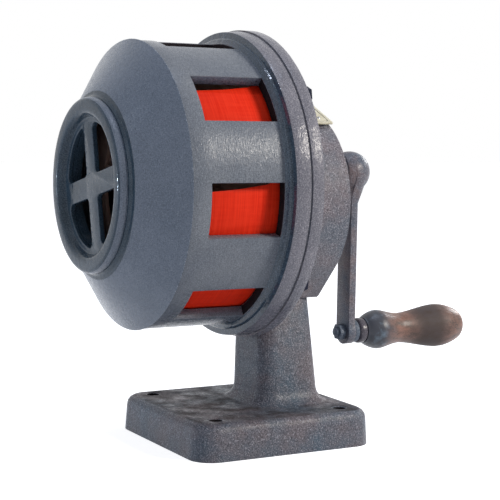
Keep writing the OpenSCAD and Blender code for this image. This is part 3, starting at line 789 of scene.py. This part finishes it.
def place(bm: bmesh.types.BMesh, name: str, material: bpy.types.Material, body: Body,
          replaces: Sequence[str] = (), smooth: float = 35.0,
          coats: Sequence[tuple[bpy.types.Material, FaceTest]] = ()) -> bpy.types.Object:
    """Turns a mesh into a finished piece of the siren.

    Args:
        bm: the mesh, freed afterwards.
        name: the piece's name.
        material: its finish.
        body: the body it rides on.
        replaces: CAD nodes that it stands for.
        smooth: edges sharper than this stay sharp, in degrees.
        coats: other finishes with the test that picks their faces.

    Returns:
        The new object.
    """
    limit = math.radians(smooth)
    for face in bm.faces:
        face.smooth = True
        for number, (_, picked) in enumerate(coats, 1):
            if picked(face):
                face.material_index = number
    for edge in bm.edges:
        edge.smooth = len(edge.link_faces) == 2 and edge.calc_face_angle(0.0) < limit
    mesh = bpy.data.meshes.new(name)
    bm.to_mesh(mesh)
    bm.free()
    for coat in (material, *(other for other, _ in coats)):
        mesh.materials.append(coat)
    piece = bpy.data.objects.new(name, mesh)
    bpy.context.scene.collection.objects.link(piece)
    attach(piece, body.value)
    if replaces:
        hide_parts(*replaces)
    log.info("%s: %d faces", name, len(mesh.polygons))
    return piece


def dress(material: bpy.types.Material, *nodes: str) -> None:
    """Gives CAD nodes a finish and leaves their shape.

    Args:
        material: the finish.
        nodes: names of CAD nodes.
    """
    for name in nodes:
        mesh = bpy.data.objects[name].data
        mesh.materials.clear()
        mesh.materials.append(material)


# ---- the stator and its intake ---------------------------------------------


@dataclass
class StatorAssembly:
    """The ported drum, its intake cone, bell ring and grille."""

    axis: Axis
    finishes: Finishes
    drum_r: float = 109.0
    bore_r: float = 101.0
    drum_len: float = 77.8
    flange_r: float = 118.0
    flange_draft: float = 1.2
    flange_t: float = 11.7
    gasket_r: float = 118.8
    port_count: int = 8
    port_deg: float = 21.0
    port_at: float = -7.1
    port_front: float = 63.0
    port_back: float = 4.4
    port_steps: int = 7
    land_steps: int = 8
    cone_r: float = 110.3
    nose_r: float = 70.6
    nose_front: float = 104.4
    bell_r: float = 66.0
    bell_front: float = 114.1
    grille_in: float = 6.5
    grille_t: float = 4.0
    grille_r: float = 47.5
    disc_r: float = 50.0
    throat_r: float = 58.0
    seat_r: float = 94.0
    seat_deep: float = 7.0
    nose_wall: float = 8.0
    groove: float = 2.8
    collar: tuple[tuple[float, float], ...] = ((-3.2, 1.1), (-2.6, 3.0), (-1.8, 4.2), (0.0, 4.2))
    rim_round: float = 0.55
    rim_sharp_deg: float = 50.0
    level_mm: float = 0.01
    side_lean: float = 0.6
    grille_round: float = 1.1

    def drum(self) -> bpy.types.Object:
        """Makes the ported drum: one sector at a time, with the ports cut through and bridged.

        Returns:
            The drum.
        """
        front, back = -self.port_front, -self.port_back
        fillet = [(back + 0.2, self.drum_r), *((s, self.drum_r + rise) for s, rise in self.collar)]
        ring = [(-self.drum_len, self.bore_r), (-self.drum_len, self.drum_r), (front, self.drum_r),
                (back, self.drum_r), *fillet, (0.0, self.flange_r),
                (self.flange_t, self.flange_r + self.flange_draft),
                (self.flange_t, self.bore_r), (back, self.bore_r), (front, self.bore_r)]
        bm = bmesh.new()
        angle = self.port_at - self.port_deg / 2
        last = [bm.verts.new(self.axis.point(s, r, angle)) for s, r in ring]
        last += [bm.edges.new((a, b)) for a, b in zip(last, last[1:] + last[:1])]
        for _ in range(self.port_count):
            for width, steps in ((self.port_deg, self.port_steps),
                                 (360 / self.port_count - self.port_deg, self.land_steps)):
                last = bmesh.ops.spin(bm, geom=last, cent=self.axis.centre(), axis=(0, -1, 0),
                                      angle=math.radians(width), steps=steps)["geom_last"]
        bmesh.ops.remove_doubles(bm, verts=bm.verts[:], dist=MERGE * 5)
        bmesh.ops.recalc_face_normals(bm, faces=bm.faces[:])
        for k in range(self.port_count):
            self.cut_port(bm, self.port_at + 360 * k / self.port_count)
        rims = [e for e in bm.edges if e.calc_face_angle(0.0) > math.radians(self.rim_sharp_deg)
                and not self.is_port_corner(e)]
        round_edges(bm, rims, self.rim_round, 2)
        f = self.finishes
        # The collar and the flange's front, the bore and port walls, and the ports' upper walls
        # take darker finishes as painted shade.
        coats = [(f.collar, self.is_flange_front), (f.painted_shade, self.is_shaded_inside),
                 (f.thin, self.is_port_roof), (f.rim, self.is_flange_rim)]
        return place(bm, "stator_drum", f.blue, Body.CASE, ["stator"],
                     coats=coats)

    def is_flange_front(self, face: bmesh.types.BMFace) -> bool:
        """Tells whether a face is on the collar or the front of the flange."""
        station, radius = self.axis.polar(face.calc_center_median())
        return -self.port_back - 0.2 < station < 0.3 and radius > self.drum_r + 0.3

    def is_shaded_inside(self, face: bmesh.types.BMFace) -> bool:
        """Tells whether a face is in the bore or on a port wall that does not face up; it gets
        painted shade.
        """
        _, radius = self.axis.polar(face.calc_center_median())
        return radius < self.drum_r - 0.6 and face.normal.z < 0.3

    def is_port_roof(self, face: bmesh.types.BMFace) -> bool:
        """Tells whether a face is the upper wall of a port, which faces down and gets painted
        shade.
        """
        _, radius = self.axis.polar(face.calc_center_median())
        return self.bore_r + 0.3 < radius < self.drum_r - 0.3 and face.normal.z < -0.3 \
            and abs(face.normal.y) < 0.5

    def is_flange_rim(self, face: bmesh.types.BMFace) -> bool:
        """Tells whether a face is on the outer rim of the flange."""
        _, radius = self.axis.polar(face.calc_center_median())
        return radius > self.flange_r - 0.6 and abs(face.normal.y) < self.side_lean

    def is_port_corner(self, edge: bmesh.types.BMEdge) -> bool:
        """Tells whether an edge runs through the wall at the corner of a port.

        Args:
            edge: an edge of the drum.

        Returns:
            True at the corner of a port, which stays sharp.
        """
        stations, radii = zip(*(self.axis.polar(v.co) for v in edge.verts))
        inner, outer = min(radii), max(radii)
        through = outer - inner > 0.5 * (self.drum_r - self.bore_r)
        level = max(stations) - min(stations) < self.level_mm
        return through and level and inner < self.bore_r + 1 and outer < self.drum_r + 1

    def cut_port(self, bm: bmesh.types.BMesh, middle: float) -> None:
        """Opens one port through both skins of the drum and bridges its four walls.

        Args:
            bm: the drum's mesh.
            middle: the port's middle angle, in degrees.
        """
        centre = self.axis.centre()
        low, high = centre.y - self.port_front * MM, centre.y - self.port_back * MM
        skins = []
        for face in bm.faces:
            at = face.calc_center_median()
            angle = math.degrees(math.atan2(at.z - centre.z, at.x - centre.x))
            away = abs((angle - middle + 180) % 360 - 180)
            flat = abs(face.normal.y) < 0.1
            if low < at.y < high and away < self.port_deg / 2 and flat:
                skins.append(face)
        rim = [e for e in {e for f in skins for e in f.edges}
               if sum(f in skins for f in e.link_faces) == 1]
        bmesh.ops.delete(bm, geom=skins, context="FACES_ONLY")
        loose = [e for e in bm.edges if not e.link_faces]
        bmesh.ops.delete(bm, geom=loose, context="EDGES")
        stray = [v for v in bm.verts if not v.link_edges]
        bmesh.ops.delete(bm, geom=stray, context="VERTS")
        bmesh.ops.bridge_loops(bm, edges=[e for e in rim if e.is_valid])

    def cone(self) -> bpy.types.Object:
        """Makes the cone with its raised foot for the bell ring, its lip and its hollow inside.

        Returns:
            The cone.
        """
        nose, lip = -self.nose_front, -self.drum_len
        top, inner, deep = nose - self.groove, nose + self.nose_wall, lip + self.seat_deep
        ring, throat, seat = self.bell_r, self.throat_r, self.seat_r
        bm = lathe(self.axis, [
            (top, throat, 0), (top, ring - 0.6, 0), (top + 0.5, ring + 0.2, 0),
            (top + 1.5, ring + 1, 0), (nose - 0.6, ring + 2.1, 0.6), (nose, self.nose_r, 0.7),
            (lip, self.cone_r, 0.9), (lip + 0.05, self.bore_r, 0), (deep, self.bore_r, 0.4),
            (deep, seat, 0.4), (lip - 4.4, seat, 3), (nose + 5.4, 66, 2), (inner, 63, 1),
            (inner, throat, 0)])
        f = self.finishes
        # The cone is in the lighter copy of the enamel as painted light; its nose flat is in the
        # dark enamel as painted shade.
        return place(bm, "intake_cone_shell", f.lit_blue, Body.CASE, ["intake_cone"],
                     coats=[(f.edge, self.is_nose_flat), (f.rubbed_and_glinting, self.is_lip_edge)])

    def bell(self) -> bpy.types.Object:
        """Makes the bell ring with its rolled rim and its cove down to the grille.

        Returns:
            The ring.
        """
        front, nose = -self.bell_front, -self.nose_front
        foot, back, disc = nose - self.groove, nose + self.nose_wall, front + self.grille_in
        rest, rim, throat = disc + self.grille_t, self.bell_r, self.throat_r
        bm = lathe(self.axis, [
            (back, self.grille_r, 0.5), (rest, self.grille_r, 0), (rest, self.disc_r, 0),
            (disc, self.disc_r, 0), (disc - 0.1, 51.6, 0.7), (front + 2.2, 52.9, 1.6),
            (front, 54.8, 2.2), (front, rim - 0.3, 3.4), (foot - 1.0, rim, 0.7),
            (foot - 0.55, rim - 0.9, 0), (foot, rim - 0.9, 0), (foot, throat, 0),
            (back, throat, 0)])
        f = self.finishes
        # The ring is in the dark enamel as painted shade; its outer side is in the lighter copy as
        # painted light.
        return place(bm, "bell_ring", f.edge, Body.CASE, ["intake_ring"],
                     coats=[(f.lit_blue, self.is_bell_side)])

    def is_bell_side(self, face: bmesh.types.BMFace) -> bool:
        """Tells whether a face is on the outer side of the bell ring."""
        _, radius = self.axis.polar(face.calc_center_median())
        return radius > self.bell_r - 1.6 and abs(face.normal.y) < self.side_lean

    def is_lip_edge(self, face: bmesh.types.BMFace) -> bool:
        """Tells whether a face is on the rounded lip of the cone, with worn paint and painted
        glints.
        """
        station, radius = self.axis.polar(face.calc_center_median())
        return radius > self.cone_r - 0.7 and station < -self.drum_len + 0.1

    def is_nose_flat(self, face: bmesh.types.BMFace) -> bool:
        """Tells whether a face is on the flat nose of the cone, round the bell ring."""
        station, radius = self.axis.polar(face.calc_center_median())
        return station < -self.nose_front + 0.1 and radius < self.nose_r

    def is_opening(self, edge: bmesh.types.BMEdge) -> bool:
        """Tells whether an edge of the grille lies off its disc's outer rim."""
        return all(self.axis.polar(v.co)[1] < self.disc_r - 0.6 for v in edge.verts)

    def grille(self) -> bpy.types.Object:
        """Makes the cast cross, rounding only the edges of its four openings."""
        bm = softened("intake_grille", self.grille_round, 3, self.is_opening)
        # The grille is in the dark enamel as painted shade.
        return place(bm, "grille_cross", self.finishes.edge, Body.CASE,
                     ["intake_grille"])

    def gasket(self) -> bpy.types.Object:
        """Makes the gasket, squeezed out almost flush with the flanges and painted over.

        Returns:
            The gasket.
        """
        flush = (self.flange_r + self.flange_draft - 0.15) / self.gasket_r
        bm = bmesh.new()
        bm.from_mesh(bpy.data.objects["flange_gasket"].data)
        bmesh.ops.remove_doubles(bm, verts=bm.verts[:], dist=MERGE)
        rim = [v for v in bm.verts if self.axis.polar(v.co)[1] > self.gasket_r - 0.5]
        bmesh.ops.scale(bm, vec=(flush, 1, flush), space=Matrix.Translation(-self.axis.centre()),
                        verts=rim)
        return place(bm, "painted_gasket", self.finishes.rubber, Body.CASE,
                     ["flange_gasket"])

    def build(self) -> list[bpy.types.Object]:
        """Builds the sub-assembly."""
        return [self.drum(), self.cone(), self.bell(), self.grille(), self.gasket()]


# ---- the rotor -------------------------------------------------------------


@dataclass
class RotorAssembly:
    """The vaned rotor with its shaft, nut and bearings."""

    finishes: Finishes
    edge_round: float = 0.4

    def build(self) -> list[bpy.types.Object]:
        """Builds the sub-assembly.

        Returns:
            The new pieces.
        """
        f = self.finishes
        dress(f.ground, "rotor_shaft", "rotor_spacer", "bearing_inner_rings", "bearing_outer_rings",
              "bearing_balls", "rotor_pinion", "layshaft", "crank_shaft")
        dress(f.zinc, "rotor_washer", "rotor_nut", "pinion_clip", "plate_screws", "lay_gear",
              "lay_pinion", "crank_gear")
        dress(f.bronze, "bearing_cages", "crank_bushes", "layshaft_bushes", "gear_washer")
        dress(f.iron, "bearing_plate")
        return [place(softened("rotor", self.edge_round), "vaned_rotor", f.red,
                      Body.ROTOR, ["rotor"])]


# ---- pedestal and gear case ------------------------------------------------


@dataclass
class CaseAssembly:
    """The pedestal, the gear case and what is bolted or riveted to them."""

    finishes: Finishes
    axis: Axis
    flange_back: float = 22.8
    flange_in: float = 117.0
    drum_drop: float = 13.0
    plate_at: float = 66.0
    plate_top: float = 75.3
    line_from: float = 0.1
    line_to: float = 0.4
    hole_half: float = 55.0
    hole_r: float = 5.0
    hole_top: float = 20.0
    hole_near: float = 0.3
    hole_round: float = 1.6
    hole_sharp_deg: float = 60.0
    cast_round: float = 0.7
    case_round: float = 0.9
    plate_round: float = 0.12

    def off_hole(self, at: Vector) -> float:
        """Gives how far a point lies from the nearest base hole's axis, in millimetres."""
        return math.hypot(abs(at.x) / MM - self.hole_half, abs(at.y) / MM - self.hole_half)

    def is_hole_rim(self, edge: bmesh.types.BMEdge) -> bool:
        """Tells whether an edge is on the upper rim of a base hole."""
        return all(self.off_hole(v.co) < self.hole_r + self.hole_near
                   and v.co.z / MM > self.hole_top for v in edge.verts)

    def is_off_hole_rim(self, edge: bmesh.types.BMEdge) -> bool:
        """Tells whether an edge is anywhere but on the upper rim of a base hole."""
        return not self.is_hole_rim(edge)

    def is_hole_wall(self, face: bmesh.types.BMFace) -> bool:
        """Tells whether a face is inside a base hole."""
        return self.off_hole(face.calc_center_median()) < self.hole_r + self.hole_near

    def pedestal(self) -> bpy.types.Object:
        """Makes the cast pedestal, with the rims of its four holes worn wide.

        Returns:
            The pedestal.
        """
        bm = softened("pedestal", self.cast_round, chosen=self.is_off_hole_rim)
        rims = [e for e in bm.edges if self.is_hole_rim(e)
                and e.calc_face_angle(0.0) > math.radians(self.hole_sharp_deg)]
        round_edges(bm, rims, self.hole_round, 3)
        f = self.finishes
        # The walls of the holes are painted near black as shade.
        return place(bm, "cast_pedestal", f.foot, Body.CASE, ["pedestal"],
                     coats=[(f.painted_shade, self.is_hole_wall)])

    def is_flange(self, face: bmesh.types.BMFace) -> bool:
        """Tells whether a face is on the rim of the case's flange."""
        station, radius = self.axis.polar(face.calc_center_median())
        return station < self.flange_back and radius > self.flange_in

    def is_border(self, face: bmesh.types.BMFace) -> bool:
        """Tells whether a face is in the sunk border line of the plate.

        Args:
            face: a face of the plate.

        Returns:
            True in the border line.
        """
        angle = math.radians(self.plate_at)
        out = Vector((math.cos(angle), 0, math.sin(angle)))
        at = face.calc_center_median() - self.axis.centre() + Vector((0, 0, self.drum_drop * MM))
        depth = self.plate_top - at.dot(out) / MM
        return self.line_from < depth < self.line_to and face.normal.dot(out) > 0.8

    def build(self) -> list[bpy.types.Object]:
        """Builds the sub-assembly.

        Returns:
            The new pieces.
        """
        f = self.finishes
        case = place(softened("gear_housing", self.case_round), "gear_case", f.cast,
                     Body.CASE, ["gear_housing"], coats=[(f.rim, self.is_flange)])
        plate = place(softened("name_plate", self.plate_round), "enamel_plate", f.cream,
                      Body.CASE, ["name_plate"], coats=[(f.ink, self.is_border)])
        dress(f.lacquer, "housing_bolts", "flange_bolts")
        dress(f.zinc, "plate_rivets")
        return [self.pedestal(), case, plate]


# ---- crank and grip --------------------------------------------------------


@dataclass
class CrankAssembly:
    """The crank arm, its hardware and the turning grip."""

    finishes: Finishes
    axis: Axis
    grip_start: float = 137.2
    grip_len: float = 98.8
    bore_r: float = 5.04
    bulb_r: float = 16.4
    waist_r: float = 12.5
    palm_r: float = 18.3
    turned_round: float = 1.5
    sink_from: float = 90.6
    sink_r: float = 8.6
    washer_bore_r: float = 5.0
    washer_round: float = 1.6
    ferrule_round: float = 2.6
    arm_round: float = 1.0
    nut_round: float = 1.5
    rivet_round: float = 1.4
    facets: int = 96
    smooth_deg: float = 50.0

    def arm(self) -> bpy.types.Object:
        """Makes the forged arm with softened edges."""
        return place(softened("crank_arm", self.arm_round), "forged_arm", self.finishes.dark,
                     Body.CRANK, ["crank_arm"])

    def grip(self) -> bpy.types.Object:
        """Turns the wooden grip: a bulb, a waist and a palm swell with a rounded end.

        Returns:
            The grip.
        """
        bulb, waist, palm = self.bulb_r, self.waist_r, self.palm_r
        near, far = self.grip_start, self.grip_start + self.grip_len
        sink = self.grip_start + self.sink_from
        turned = [(0, 10.8), (1.2, 11.3), (2.6, 12.3), (4.4, 13.4), (6.8, 14.5), (9.8, 15.6),
                  (13, bulb), (17, bulb - 0.2), (22, bulb - 1.4), (28, waist + 1), (35, waist),
                  (42, waist + 0.6), (49, palm - 4.1), (57, palm - 2.5), (65, palm - 1),
                  (73, palm), (80, palm - 0.3), (86, palm - 1.6), (91, palm - 3.3),
                  (94.8, palm - 5), (97.2, palm - 6.6), (self.grip_len, palm - 8.6)]
        profile = [(near, self.bore_r, 0)]
        profile += [(near + s, r, self.turned_round if 0 < s < self.grip_len else 0.0)
                    for s, r in turned]
        profile += [(far, self.sink_r, 0), (sink, self.sink_r, 0), (sink, self.bore_r, 0)]
        return place(lathe(self.axis, profile, self.facets), "turned_grip", self.finishes.wood,
                     Body.GRIP, ["grip"], self.smooth_deg)

    def ring(self, node: str, name: str, bore_r: float, rounding: float, body: Body,
             finish: bpy.types.Material) -> bpy.types.Object:
        """Turns a ring over a plain CAD ring, with well rounded rims.

        Args:
            node: the CAD node that it stands for.
            name: the piece's name.
            bore_r: its bore, in millimetres.
            rounding: radius of the outer rims, in millimetres.
            body: the body it rides on.
            finish: its finish.

        Returns:
            The ring.
        """
        low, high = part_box(node)
        first, last = (low.y - self.axis.face) / MM, (high.y - self.axis.face) / MM
        outer = (high.x - low.x) / 2 / MM
        bm = lathe(self.axis, [(first, bore_r, 0), (first, outer, rounding),
                               (last, outer, rounding / 2), (last, bore_r, 0)], self.facets)
        return place(bm, name, finish, body, [node])

    def nut(self) -> bpy.types.Object:
        """Rounds the spindle nut, whose corners are thick with enamel."""
        return place(softened("spindle_nut", self.nut_round, 3), "enamelled_nut", self.finishes.nut,
                     Body.CRANK, ["spindle_nut"], self.smooth_deg)

    def spindle(self) -> bpy.types.Object:
        """Rounds the riveted end of the spindle; inside the grip it stays bright.

        Returns:
            The spindle.
        """
        f = self.finishes
        low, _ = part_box("grip_washer")

        def outside(face: bmesh.types.BMFace) -> bool:
            """Picks the painted end in front of the arm."""
            return face.calc_center_median().y < low.y - 0.5 * MM

        return place(softened("grip_spindle", self.rivet_round, 3), "riveted_spindle", f.zinc,
                     Body.CRANK, ["grip_spindle"], self.smooth_deg,
                     [(f.nut, outside)])

    def build(self) -> list[bpy.types.Object]:
        """Builds the sub-assembly.

        Returns:
            The new pieces.
        """
        f = self.finishes
        dress(f.zinc, "crank_pin", "crank_washer")
        return [self.arm(), self.grip(), self.nut(), self.spindle(),
                self.ring("grip_washer", "enamelled_washer", self.washer_bore_r, self.washer_round,
                          Body.CRANK, f.nut),
                self.ring("grip_ferrule", "rolled_ferrule", self.bore_r, self.ferrule_round,
                          Body.GRIP, f.ferrule)]


# ---- studio ----------------------------------------------------------------


@dataclass(frozen=True)
class Lamp:
    """One soft square light: its side is in metres and its power in watts."""

    name: str
    at: tuple[float, float, float]
    side: float
    power: float
    colour: str

    def build(self, aim: Vector) -> None:
        """Adds the light.

        Args:
            aim: the point that it faces.
        """
        data = bpy.data.lights.new(self.name, "AREA")
        data.size, data.energy = self.side, self.power
        data.color = linear(self.colour)[:3]
        lamp = bpy.data.objects.new(self.name, data)
        lamp.location = self.at
        lamp.rotation_mode = "QUATERNION"
        lamp.rotation_quaternion = (aim - Vector(self.at)).to_track_quat("-Z", "Y")
        bpy.context.scene.collection.objects.link(lamp)


LAMPS = (
    Lamp("key", (1.34, 1.11, 1.06), 0.35, 30, "#fff8ee"),
    Lamp("ceiling", (0.1, 0.0, 2.3), 1.2, 5, "#dce8ff"),
    Lamp("lamp", (0.1, 0.0, 2.2), 0.16, 6, "#dce8ff"),
    Lamp("fill", (0.3, -2.2, 0.8), 1.4, 4.6, "#e4eeff"),
    Lamp("rear", (-0.9, 2.1, 1.0), 0.4, 12, "#ffffff"),
    Lamp("glint", (-0.64, -1.42, 0.92), 0.03, 1, "#dcecff"),
    Lamp("low_glint", (-0.9, -1.0, 0.15), 0.025, 1.2, "#d4e8ff"),
)


@dataclass(frozen=True)
class Studio:
    """The camera, the pale floor and the white surroundings, with sizes in metres."""

    camera_at: tuple[float, float, float] = (0.9705, -0.5399, 0.2536)
    azimuth: float = 60.78
    elevation: float = 5.35
    roll: float = 0.95
    lens: float = 100.9
    sensor: float = 36.0
    floor_half: float = 6.0
    ambient: float = 0.3
    floor_lift: float = 0.82

    def camera(self) -> None:
        """Makes the camera; its azimuth counts from -Y towards +X."""
        data = bpy.data.cameras.new("view")
        data.lens, data.sensor_width = self.lens, self.sensor
        data.clip_start = 0.05
        camera = bpy.data.objects.new("view", data)
        a, e, r = (math.radians(v) for v in (self.azimuth, self.elevation, self.roll))
        back = Vector((math.sin(a) * math.cos(e), -math.cos(a) * math.cos(e), math.sin(e)))
        level = Vector((math.cos(a), math.sin(a), 0))
        upright = back.cross(level)
        right = level * math.cos(r) + upright * math.sin(r)
        up = upright * math.cos(r) - level * math.sin(r)
        turn = Matrix((right, up, back)).transposed().to_4x4()
        camera.matrix_world = Matrix.Translation(self.camera_at) @ turn
        bpy.context.scene.collection.objects.link(camera)
        bpy.context.scene.camera = camera

    def white_to_camera(self, tree: bpy.types.NodeTree) -> bpy.types.Node:
        """Adds nodes that give 1 for camera, glossy and transmission rays.

        Args:
            tree: the node tree.

        Returns:
            The last of the nodes.
        """
        path = add(tree, "LightPath")
        first = add(tree, "Math", {"operation": "MAXIMUM"},
                    {0: path.outputs["Is Camera Ray"], 1: path.outputs["Is Glossy Ray"]})
        return add(tree, "Math", {"operation": "MAXIMUM"},
                   {0: first, 1: path.outputs["Is Transmission Ray"]})

    def surroundings(self) -> None:
        """Makes the world: plain white to look at, a gentler pale light on the object."""
        world = bpy.data.worlds.new("pale_studio")
        bpy.context.scene.world = world
        world.use_nodes = True
        tree = world.node_tree
        tree.nodes.clear()
        soft = add(tree, "Background", {"Color": "#dfe7f5", "Strength": self.ambient})
        seen = add(tree, "Background", {"Color": "#ffffff", "Strength": 1.0})
        both = add(tree, "MixShader", links={0: self.white_to_camera(tree), 1: soft, 2: seen})
        add(tree, "OutputWorld", links={"Surface": both})

    def floor(self, level: float) -> None:
        """Makes the pale floor.

        Args:
            level: its height, in metres.
        """
        bm = bmesh.new()
        bmesh.ops.create_grid(bm, x_segments=1, y_segments=1, size=self.floor_half)
        bmesh.ops.translate(bm, verts=bm.verts[:], vec=(0, 0, level))
        mesh = bpy.data.meshes.new("studio_floor")
        bm.to_mesh(mesh)
        bm.free()
        # Matt white paint: pale and even, without a shine.
        material, tree, _ = start("matt_white_floor")
        lift = add(tree, "Math", {"operation": "MULTIPLY", 1: self.floor_lift},
                   {0: self.white_to_camera(tree)})
        shader = add(tree, "BsdfPrincipled", {"Base Color": "#d2d4d8", "Roughness": 0.9,
                                              "Emission Color": "#ffffff"},
                     {"Emission Strength": lift})
        add(tree, "OutputMaterial", links={"Surface": shader})
        mesh.materials.append(material)
        plane = bpy.data.objects.new("studio_floor", mesh)
        bpy.context.scene.collection.objects.link(plane)
        plane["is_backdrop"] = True

    def build(self) -> None:
        """Sets up the whole studio round the object."""
        low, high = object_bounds()
        middle = (low + high) / 2
        self.camera()
        self.surroundings()
        self.floor(low.z)
        for lamp in LAMPS:
            lamp.build(middle)
        bpy.context.scene.view_settings.view_transform = "Standard"


def corners() -> list[list[float]]:
    """Gives the object's box as plain numbers."""
    return [list(corner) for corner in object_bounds()]


def main() -> None:
    """Builds the sub-assemblies in order and reports each piece."""
    logging.basicConfig(level=logging.INFO, format="%(name)s %(message)s")
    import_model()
    drum_low, drum_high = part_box("stator")
    grip_low, grip_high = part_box("grip")
    flange = StatorAssembly.flange_t * MM
    rotor_axis = Axis(0.0, (drum_low.z + drum_high.z) / 2, drum_high.y - flange)
    grip_axis = Axis((grip_low.x + grip_high.x) / 2, (grip_low.z + grip_high.z) / 2,
                     rotor_axis.face)
    rotor_low, rotor_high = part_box("rotor")
    finishes = Finishes(rotor_axis.z, (rotor_high.z - rotor_low.z) / 2, grip_low.y)
    for assembly in (StatorAssembly(rotor_axis, finishes), RotorAssembly(finishes),
                     CaseAssembly(finishes, rotor_axis), CrankAssembly(finishes, grip_axis)):
        made = assembly.build()
        log.info("%s: %s", type(assembly).__name__, ", ".join(piece.name for piece in made))
    Studio().build()


if __name__ == "__main__":
    main()
